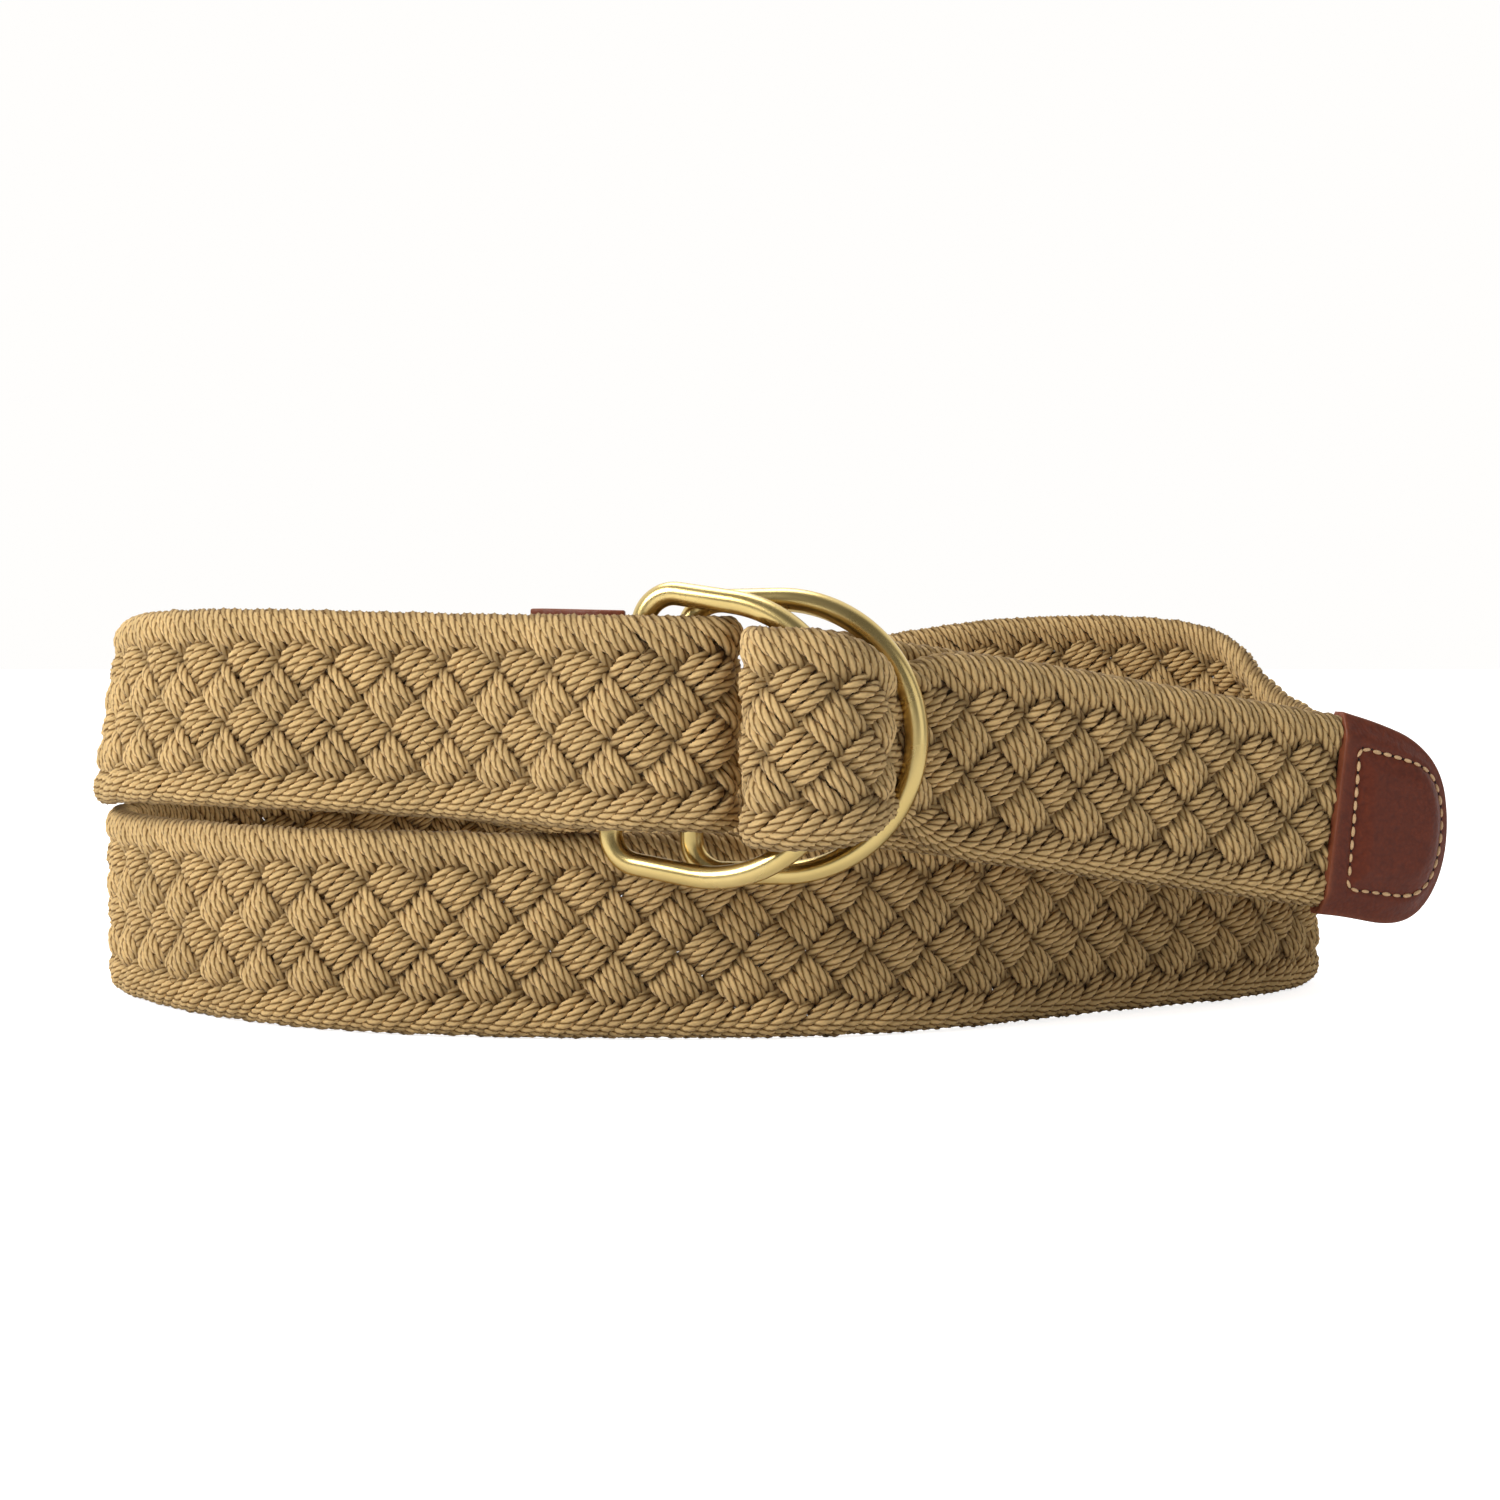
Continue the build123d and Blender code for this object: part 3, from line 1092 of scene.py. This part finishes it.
def straight(start: tuple[float, float], end: tuple[float, float], count: int) -> np.ndarray:
    """Places along a straight run, without its end.

    Args:
        start: where it begins.
        end: where it ends.
        count: how many places.

    Returns:
        The places.
    """
    return np.linspace(start, end, count, endpoint=False)


def arc(centre: tuple[float, float], radius: float, start: float, end: float, count: int) -> np.ndarray:
    """Places along a round run, without its end.

    Args:
        centre: the arc's centre.
        radius: its radius.
        start: the angle at which it begins.
        end: the angle at which it ends.
        count: how many places.

    Returns:
        The places.
    """
    turns = np.linspace(start, end, count, endpoint=False)
    return np.array(centre) + radius * np.stack([np.cos(turns), np.sin(turns)], 1)


@dataclass
class DRing:
    """One D-ring bent from round brass wire: a straight bar and a half-round side."""

    body: Body
    bar: Place
    roll: float
    tilt: float
    wire_radius: float = 1.8 * MM
    radius: float = 20.8 * MM
    depth: float = 14.0 * MM
    corner: float = 5.0 * MM
    sides: int = 28

    def outline(self) -> np.ndarray:
        """The wire's middle line in the ring's own plane.

        Returns:
            Points, x from the bar towards the half-round side and y along the bar.
        """
        half, quarter = self.radius - self.corner, math.pi / 2
        return np.vstack([
            straight((0, -half), (0, half), 24),
            arc((self.corner, half), self.corner, math.pi, quarter, 12),
            straight((self.corner, self.radius), (self.depth, self.radius), 8),
            arc((self.depth, 0), self.radius, quarter, -quarter, 96),
            straight((self.depth, -self.radius), (self.corner, -self.radius), 8),
            arc((self.corner, -half), self.corner, -quarter, -math.pi, 12)])

    def build(self, brass: bpy.types.Material) -> None:
        """Sweep the wire round its outline.

        Args:
            brass: its material.
        """
        roll, tilt = math.radians(self.roll), math.radians(self.tilt)
        along_bar = np.array([math.sin(roll), 0, math.cos(roll)])
        flat = np.array([math.cos(roll), 0, -math.sin(roll)])
        reach = flat * math.cos(tilt) + np.array([0, -1, 0]) * math.sin(tilt)
        normal = np.cross(reach, along_bar)
        origin = (np.array(self.bar) - np.array([*LAYOUT_ORIGIN, 0])) * MM
        line = self.outline()
        step = np.roll(line, -1, axis=0) - np.roll(line, 1, axis=0)
        step /= np.linalg.norm(step, axis=1)[:, None]
        middle = origin + line[:, :1] * reach + line[:, 1:] * along_bar
        outward = -step[:, 1:] * reach + step[:, :1] * along_bar
        turns = np.linspace(0, 2 * math.pi, self.sides, endpoint=False)[None, :, None]
        rings = middle[:, None] + self.wire_radius * (
            np.cos(turns) * outward[:, None] + np.sin(turns) * normal)
        count, sides = len(line), self.sides
        faces = [(a * sides + b, a * sides + (b + 1) % sides,
                  (a + 1) % count * sides + (b + 1) % sides, (a + 1) % count * sides + b)
                 for a in range(count) for b in range(sides)]
        node = self.body.value
        mesh = skin_mesh(node, rings.reshape(-1, 3), faces, brass)
        face_outwards(mesh)
        mesh.shade_smooth()
        hand_over(mesh_object(f"{node}_wire", mesh), Slot.BRASS, self.body, node)


# --- the leather tip ---------------------------------------------------------------------------


def rounded_line(points: Sequence[tuple[float, float]], count: int, closed: bool = False) -> np.ndarray:
    """A smooth line through the middles of the runs between points, evenly spaced.

    Args:
        points: the corners it rounds; a doubled point makes a sharp corner.
        count: how many places to return.
        closed: True for a loop.

    Returns:
        The places.
    """
    corners = np.array(points, float)
    if closed:
        corners = np.vstack([corners[-1:], corners, corners[:1]])
    fine = [] if closed else [corners[0]]
    for before, here, after in zip(corners, corners[1:], corners[2:]):
        start, end = (before + here) / 2, (here + after) / 2
        for share in np.linspace(0, 1, 16, endpoint=False):
            fine.append((1 - share) ** 2 * start + 2 * share * (1 - share) * here + share ** 2 * end)
    fine = np.array(fine + [fine[0] if closed else corners[-1]])
    length = np.concatenate([[0], np.cumsum(np.linalg.norm(np.diff(fine, axis=0), axis=1))])
    wanted = np.linspace(0, length[-1], count, endpoint=not closed)
    return np.stack([np.interp(wanted, length, fine[:, axis]) for axis in (0, 1)], 1)


def looped(line: np.ndarray) -> np.ndarray:
    """A line of places with its first one again at the end."""
    return np.vstack([line, line[:1]])


def distance_to(places: np.ndarray, line: np.ndarray) -> np.ndarray:
    """How far each place is from a line of points.

    Args:
        places: the places, any number by two.
        line: the line's points.

    Returns:
        The distances.
    """
    start, step = line[:-1], np.diff(line, axis=0)
    away = places[:, None] - start[None]
    share = np.clip((away * step).sum(2) / np.maximum((step ** 2).sum(1), 1e-12), 0, 1)
    return np.linalg.norm(away - share[:, :, None] * step, axis=2).min(1)


def inside_loop(places: np.ndarray, loop: np.ndarray) -> np.ndarray:
    """1 for each place inside a closed loop and 0 for the others, by counting crossings.

    Args:
        places: the places.
        loop: the loop's points.

    Returns:
        The marks.
    """
    ahead = np.roll(loop, -1, axis=0)
    x, y = places[:, :1], places[:, 1:]
    spans = (loop[:, 1] > y) != (ahead[:, 1] > y)
    rise = ahead[:, 1] - loop[:, 1]
    rise = np.where(np.abs(rise) < 1e-12, 1e-12, rise)
    cross = x < (ahead[:, 0] - loop[:, 0]) * (y - loop[:, 1]) / rise + loop[:, 0]
    return ((spans & cross).sum(1) % 2).astype(float)


def smooth_share(values: np.ndarray) -> np.ndarray:
    """Ease from 0 to 1 with flat ends.

    Args:
        values: shares, also past either end.

    Returns:
        The eased shares.
    """
    share = np.clip(values, 0, 1)
    return share * share * (3 - 2 * share)


@dataclass
class LeatherTip:
    """Two leathers sewn face to face over the strap's end with a D-shaped seam.

    The edge and the seam are corners of rounded lines in the tip's own plane, in millimetres
    from the middle of its mouth: x towards its end and y upwards.
    """

    route: Route
    slope: float = 9.8
    thickness: float = 1.4 * MM
    rim_height: float = 1.5 * MM
    body_height: float = 3.0 * MM
    body_slope: float = 4.2 * MM
    dome_height: float = 0.85 * MM
    dome_slope: float = 4.0 * MM
    groove_depth: float = 0.28 * MM
    groove_width: float = 0.55 * MM
    edge_roll: float = 0.45 * MM
    thinned_edge: float = 0.3 * MM
    inner_gap: float = 0.02 * MM
    thread_lift: float = 0.12 * MM
    rings: int = 40
    crowding: float = 1.6
    edge: tuple[tuple[float, float], ...] = (
        (-1.6, 16.6), (6, 15.9), (14, 14.4), (20.6, 9.8), (23.6, 1.5), (23.9, -7), (21.0, -14.2),
        (15.4, -17.6), (5, -17.2), (-0.2, -17.4))
    seam_corners: tuple[tuple[float, float], ...] = (
        (1.6, 11.0), (1.6, 11.0), (10, 10.7), (17.4, 9.6), (21.0, 4.4), (21.8, -1.5), (21.2, -8.2),
        (17.4, -12.2), (10, -12.4), (3.6, -12.5), (3.6, -12.5))
    middle: tuple[float, float] = (9.0, -0.6)
    along: np.ndarray = field(init=False)
    facing: np.ndarray = field(init=False)
    upward: np.ndarray = field(init=False)
    origin: np.ndarray = field(init=False)
    free_edge: np.ndarray = field(init=False)
    mouth: np.ndarray = field(init=False)
    seam: np.ndarray = field(init=False)

    def __post_init__(self) -> None:
        """Set up the tip's own plane from the end of the strap's route."""
        end = self.route.stations(self.route.length[-1] - 1 * MM, self.route.length[-1], 1 * MM)
        heading, fall = end["tangent"][-1], math.radians(self.slope)
        self.along = heading * math.cos(fall) - UP * math.sin(fall)
        self.facing = np.cross(heading, UP)
        self.upward = np.cross(self.facing, self.along)
        self.origin = end["middle"][-1] - self.along * TIP_LAP
        self.free_edge = rounded_line(self.edge, 180) * MM
        self.mouth = np.linspace(self.free_edge[-1], self.free_edge[0], 42)[1:-1]
        self.seam = rounded_line(self.seam_corners, 260, closed=True) * MM

    def height(self, places: np.ndarray) -> np.ndarray:
        """Height of the leather's outside over the tip's middle plane.

        Args:
            places: places in the tip's plane.

        Returns:
            Heights.
        """
        to_edge = distance_to(places, self.free_edge)
        to_mouth = distance_to(places, np.vstack([self.free_edge[-1:], self.mouth, self.free_edge[:1]]))
        to_seam = distance_to(places, looped(self.seam))
        fullness = smooth_share(to_edge / self.body_slope)
        body = self.rim_height + (self.body_height - self.rim_height) * fullness
        dome = self.dome_height * smooth_share(to_seam / self.dome_slope) * inside_loop(places, self.seam)
        groove = self.groove_depth * np.exp(-(to_seam / self.groove_width) ** 2)
        roll = self.edge_roll
        depths = (np.clip(roll - distance, 0, roll) for distance in (to_edge, to_mouth))
        rounding = sum(roll - np.sqrt(np.maximum(roll ** 2 - depth ** 2, 0)) for depth in depths)
        return body + dome - groove - np.minimum(rounding, roll)

    def to_space(self, places: np.ndarray, height: np.ndarray, side: float) -> np.ndarray:
        """Lift places in the tip's plane into the belt's own space.

        Args:
            places: places in the tip's plane.
            height: their heights over it.
            side: 1 for the front, -1 for the back.

        Returns:
            Points in space.
        """
        return (self.origin + places[:, :1] * self.along + places[:, 1:] * self.upward
                + side * height[:, None] * self.facing)

    def faces(self, count: int) -> list[tuple[int, ...]]:
        """Faces of a leather: two discs of rings round a middle point, joined at their rims.

        Args:
            count: vertices in each ring.

        Returns:
            The faces, the outside's first.
        """
        layer = 1 + self.rings * count
        pairs = [(step, (step + 1) % count) for step in range(count)]
        made: list[tuple[int, ...]] = []
        for base in (0, layer):
            made += [(base, base + 1 + step, base + 1 + after) for step, after in pairs]
            made += [(near + step, near + count + step, near + count + after, near + after)
                     for near in range(base + 1, base + layer - count, count) for step, after in pairs]
        rim = layer - count
        made += [(rim + step, rim + after, layer + rim + after, layer + rim + step)
                 for step, after in pairs]
        return made

    def leather(self, node: str, side: float, material: bpy.types.Material) -> None:
        """One leather, closed all round, with its inside against the strap.

        Args:
            node: the plain plate that it stands for.
            side: 1 for the front, -1 for the back.
            material: the leather.
        """
        outline = np.vstack([self.free_edge, self.mouth])
        centre, count = np.array(self.middle) * MM, len(outline)
        shares = 1 - (1 - np.linspace(0, 1, self.rings + 1)[1:]) ** self.crowding
        grid = np.vstack([centre[None]] + [centre + (outline - centre) * share for share in shares])
        top = self.height(grid)
        under = top - self.thickness
        under[-count:] += self.thinned_edge
        under = np.maximum(under, self.inner_gap)
        places = np.vstack([self.to_space(grid, top, side), self.to_space(grid, under, side)])
        rim = np.exp(-distance_to(grid, looped(outline)) / (0.5 * MM))
        mesh = skin_mesh(node, places, self.faces(count), material, np.tile(rim, 2))
        face_outwards(mesh)
        mesh.shade_smooth()
        hand_over(mesh_object(f"{node}_skin", mesh), Slot.LEATHER, Body.TAIL, node)

    def build(self, leather: bpy.types.Material, sewing: "Sewing") -> None:
        """Make both leathers and the seam that shows on each.

        Args:
            leather: the leather.
            sewing: what sews the seam.
        """
        self.leather("tip_leather_front", 1.0, leather)
        self.leather("tip_leather_back", -1.0, leather)
        height = self.height(self.seam) + self.thread_lift
        seams = [{"middle": self.to_space(self.seam, height, side),
                  "facing": np.tile(self.facing * side, (len(self.seam), 1))} for side in (1.0, -1.0)]
        sewing.sew("tip_stitching", Body.TAIL, seams, closed=True)


# --- stitches -----------------------------------------------------------------------------------


@dataclass(frozen=True)
class Bead:
    """What a seam shows at even spacing: a stitch or the needle hole between two."""

    ending: str
    slot: Slot
    material: bpy.types.Material
    length: float
    radius: float
    start: float
    sunk: float


@dataclass
class Sewing:
    """Rows of lock stitches with a needle hole between each two."""

    thread: bpy.types.Material
    hole: bpy.types.Material
    pitch: float = 2.25 * MM
    stitch_length: float = 1.65 * MM
    stitch_radius: float = 0.32 * MM
    hole_radius: float = 0.24 * MM
    hole_sunk: float = 0.16 * MM
    uneven: float = 0.1
    first_seed: int = 3
    row_tree: bpy.types.NodeTree = field(init=False)

    def __post_init__(self) -> None:
        """Build the tree that all seams share."""
        self.row_tree = self.tree()

    def tree(self) -> bpy.types.NodeTree:
        """A tree that sets one long bead at even spacing along a seam.

        Returns:
            The tree.
        """
        sizes = dict.fromkeys(("Pitch", "Length", "Radius", "Start"), Socket.FLOAT)
        canvas = Canvas.group("row_of_beads", "GeometryNodeTree",
                              {"Geometry": Socket.GEOMETRY, **sizes, "Seed": Socket.INT,
                               "Material": Socket.MATERIAL}, {"Geometry": Socket.GEOMETRY})
        given = canvas.given()
        line = canvas.take("GeometryNodeMeshToCurve", {0: given["Geometry"]})
        points = canvas.take("GeometryNodeResampleCurve", {"Curve": line, "Length": given["Pitch"]},
                             mode="LENGTH")
        tangent = canvas.take("GeometryNodeInputTangent")
        along = canvas.take("FunctionNodeAlignRotationToVector", {"Vector": tangent}, axis="X")
        raised = canvas.take("FunctionNodeAlignRotationToVector",
                             {"Rotation": along, "Vector": canvas.carried("facing", "FLOAT_VECTOR")},
                             axis="Z", pivot_axis="X")
        ball = canvas.take("GeometryNodeMeshUVSphere", {"Segments": 10, "Rings": 8, "Radius": 1.0})
        size = canvas.joined(given["Length"] * 0.5, given["Radius"], given["Radius"])
        bead = canvas.take("GeometryNodeTransform", {0: ball, "Scale": size})
        shift = canvas.scaled(tangent, given["Start"] * given["Pitch"])
        spots = canvas.take("GeometryNodeSetPosition", {0: points, "Offset": shift})
        uneven = canvas.take("FunctionNodeRandomValue",
                             {2: 1 - self.uneven, 3: 1 + self.uneven, "Seed": given["Seed"]}, 1,
                             data_type="FLOAT")
        placed = canvas.take("GeometryNodeInstanceOnPoints",
                             {"Points": spots, "Instance": bead, "Rotation": raised, "Scale": uneven})
        canvas.finish_pieces(placed, given["Material"])
        return canvas.tree

    def row(self, name: str, bead: Bead, seams: list[Stations], closed: bool) -> bpy.types.Object:
        """One kind of bead along all of a piece's seams.

        Args:
            name: the piece's name.
            bead: what it shows.
            seams: stations of each seam.
            closed: True for loops.

        Returns:
            The piece.
        """
        parts = []
        for number, seam in enumerate(seams):
            lowered = {**seam, "middle": seam["middle"] - seam["facing"] * bead.sunk}
            guide = guide_mesh(f"{name}_{number}_guide", lowered, closed)
            parts.append(follow(guide, f"{name}_{number}", self.row_tree, {
                "Pitch": self.pitch, "Length": bead.length, "Radius": bead.radius, "Start": bead.start,
                "Seed": self.first_seed + number, "Material": bead.material}))
        with bpy.context.temp_override(active_object=parts[0], object=parts[0], selected_objects=parts,
                                       selected_editable_objects=parts):
            if len(parts) > 1:
                bpy.ops.object.join()
        parts[0].name = name
        return parts[0]

    def sew(self, node: str, body: Body, seams: list[Stations], closed: bool) -> None:
        """Stitches and holes along the seams of one node.

        Args:
            node: the plain stitching that they stand for.
            body: what they move with.
            seams: stations of each seam.
            closed: True for loops.
        """
        stitch = Bead("thread", Slot.THREAD, self.thread, self.stitch_length, self.stitch_radius, 0.0, 0.0)
        # Each needle hole is a small bead sunk into the leather, coloured near black as painted shade for
        # the hole.
        hole = Bead("holes", Slot.LEATHER, self.hole, 2 * self.hole_radius, self.hole_radius, 0.5,
                    self.hole_sunk)
        for bead, nodes in ((stitch, (node,)), (hole, ())):
            hand_over(self.row(f"{node}_{bead.ending}", bead, seams, closed), bead.slot, body, *nodes)


# --- the patch behind the loop ------------------------------------------------------------------


@dataclass
class LoopPatch:
    """A leather patch over the strap's raw end, behind the loop that holds the rings."""

    route: Route
    height: float = 34.4 * MM
    thickness: float = 1.5 * MM
    overhang: float = 2.4 * MM
    reach: float = 15.5 * MM
    strap_half: float = 2.2 * MM
    gap: float = 0.1 * MM
    soft_edge: float = 0.35 * MM
    columns: int = 25
    seam_rows: tuple[int, int] = (4, 12)
    seam_share: float = 0.43
    seam_points: int = 60

    def sheet(self) -> Stations:
        """Stations of the patch's middle surface, from past the raw end towards the rings.

        Returns:
            Arrays named middle, across and facing.
        """
        stations = self.route.stations(0.0, self.reach, 0.7 * MM)
        before = np.linspace(-self.overhang, -0.5 * MM, 4)[:, None]
        past_end = stations["middle"][0] + before * stations["tangent"][0]
        across, facing = (np.vstack([np.tile(stations[name][0], (len(before), 1)), stations[name]])
                          for name in ("across", "facing"))
        away = self.strap_half + self.gap + self.thickness / 2
        return {"middle": np.vstack([past_end, stations["middle"]]) + facing * away, "across": across,
                "facing": facing}

    def build(self, leather: bpy.types.Material, sewing: Sewing) -> None:
        """Make the patch and its seam.

        Args:
            leather: the leather.
            sewing: what sews the seam.
        """
        rows = self.sheet()
        count, columns = len(rows["middle"]), self.columns
        heights = np.linspace(-0.5, 0.5, columns)[None, :, None] * self.height
        places = rows["middle"][:, None] + rows["across"][:, None] * heights
        rim = np.zeros((count, columns))
        rim[[0, -1], :] = rim[:, [0, -1]] = 1.0
        mesh = skin_mesh("loop_leather_patch", places.reshape(-1, 3), grid_faces(count, columns), leather,
                         rim.ravel())
        flat = mesh_object("patch_sheet", mesh)
        wall = flat.modifiers.new("wall", "SOLIDIFY")
        wall.thickness, wall.offset = self.thickness, 0.0
        soft = flat.modifiers.new("soft_edges", "BEVEL")
        soft.width, soft.segments, soft.limit_method = self.soft_edge, 3, "ANGLE"
        piece = settled(flat, "loop_leather_patch_skin")
        face_outwards(piece.data)
        piece.data.shade_smooth()
        hand_over(piece, Slot.LEATHER, Body.STRAP, "loop_leather_patch")
        sewing.sew("patch_stitching", Body.STRAP, self.seams(rows), closed=False)

    def seams(self, rows: Stations) -> list[Stations]:
        """Two upright rows of stitches, seen on the patch's back.

        Args:
            rows: stations of the patch.

        Returns:
            Stations of each seam.
        """
        heights = np.linspace(-self.seam_share, self.seam_share, self.seam_points)[:, None] * self.height
        made = []
        for index in self.seam_rows:
            facing = rows["facing"][index]
            outside = rows["middle"][index] + facing * (self.thickness / 2 + self.gap)
            made.append({"middle": outside + rows["across"][index] * heights,
                         "facing": np.tile(facing, (self.seam_points, 1))})
        return made


# --- floor, lights and camera --------------------------------------------------------------------


@dataclass(frozen=True)
class Lamp:
    """One soft round lamp that points at the belt."""

    name: str
    place: Place
    size: float
    watts: float
    aim: Place = (0, -0.02, 0.035)

    def build(self) -> None:
        """Hang the lamp."""
        data = bpy.data.lights.new(self.name, "AREA")
        data.shape, data.size, data.energy = "DISK", self.size, self.watts
        lamp = bpy.data.objects.new(self.name, data)
        lamp.location = self.place
        lamp.rotation_euler = (Vector(self.aim) - Vector(self.place)).to_track_quat("-Z", "Y").to_euler()
        bpy.context.collection.objects.link(lamp)


@dataclass
class Studio:
    """A pale floor, soft lamps and the camera."""

    camera_place: Place = (0.11 * MM, -362 * MM, 61 * MM)
    pitch_down: float = 2.79
    lens: float = 49.2
    sky_colour: Colour = (1.0, 0.99, 0.975, 1.0)
    sky_back: Place = (0.0, 0.96, 0.28)
    front_sky: float = 0.16
    floor_tone: float = 0.86
    floor_glow: float = 0.8
    floor_size: float = 6.0
    floor_drop: float = 0.6 * MM
    lamps: tuple[Lamp, ...] = (Lamp("key", (-0.5, -0.38, 0.42), 0.32, 3.9),
                               Lamp("fill", (0.65, -0.5, 0.22), 0.6, 0.8),
                               Lamp("top", (-0.1, 0.15, 0.6), 0.4, 1.6))

    def floor(self) -> None:
        """A plain pale floor, just under the belt's lower edge."""
        material, canvas, shader = start_material("pale_floor")
        tone = canvas.noise(canvas.here(), 30.0) * 0.02 + self.floor_tone
        seen = canvas.take("ShaderNodeLightPath", output="Is Camera Ray")
        canvas.fill(shader, {"Base Color": canvas.joined(tone, tone, tone), "Roughness": 0.9,
                             "Emission Color": (1, 1, 1, 1), "Emission Strength": seen * self.floor_glow})
        size, drop = self.floor_size, -self.floor_drop
        corners = np.array([(-size, -size, 0), (size, -size, 0), (size, size, 0), (-size, size, 0)])
        floor = mesh_object("floor", skin_mesh("floor", corners, [(0, 1, 2, 3)], material))
        floor.location.z = drop

    def sky(self) -> None:
        """A bright sky behind the belt that dims towards the viewer and looks even to the camera."""
        world = bpy.data.worlds.new("studio")
        world.use_nodes = True
        canvas = Canvas(world.node_tree)
        way = canvas.take("ShaderNodeTexCoord", output="Generated")
        strength = canvas.eased(canvas.vector("DOT_PRODUCT", way, self.sky_back), -0.1, 0.55,
                                self.front_sky, 1.0)
        seen = canvas.take("ShaderNodeLightPath", output="Is Camera Ray")
        back = canvas.take("ShaderNodeBackground",
                           {0: self.sky_colour, 1: canvas.math("MAXIMUM", strength, seen)})
        canvas.node("ShaderNodeOutputWorld", {"Surface": back})
        bpy.context.scene.world = world
        bpy.context.scene.view_settings.view_transform = "Standard"

    def camera(self) -> None:
        """The camera, level with the rings and a little above the belt."""
        data = bpy.data.cameras.new("camera")
        data.lens, data.sensor_width, data.clip_start = self.lens, 36.0, 0.01
        camera = bpy.data.objects.new("camera", data)
        camera.location = self.camera_place
        camera.rotation_euler = (math.radians(90 - self.pitch_down), 0, 0)
        bpy.context.collection.objects.link(camera)
        bpy.context.scene.camera = camera

    def build(self) -> None:
        """Set the stage."""
        self.floor()
        for lamp in self.lamps:
            lamp.build()
        self.sky()
        self.camera()


def main() -> None:
    """Build the belt piece by piece, set the stage and note the sizes."""
    logging.basicConfig(level=logging.INFO, format="%(message)s")
    Studio().build()
    fuzz, grain = fibre_fuzz_group(), grain_group()
    brass = BrassFinish().material(grain)
    leather = LeatherFinish().material(grain)
    sewing = Sewing(thread=ThreadFinish().material(fuzz), hole=NeedleHoleShade().material(grain))
    route = Route()
    LOG.info("strap length %.3f m", route.length[-1])
    BraidedStrap(route).build(CottonFinish().material(fuzz))
    DRing(Body.RING_OUTER, bar=(-18.75, -7.6, 49.7), roll=9.0, tilt=20.5).build(brass)
    DRing(Body.RING_INNER, bar=(-9.2, -6.2, 47.6), roll=-1.0, tilt=10.5).build(brass)
    LeatherTip(route).build(leather, sewing)
    LoopPatch(route).build(leather, sewing)


if __name__ == "__main__":
    main()
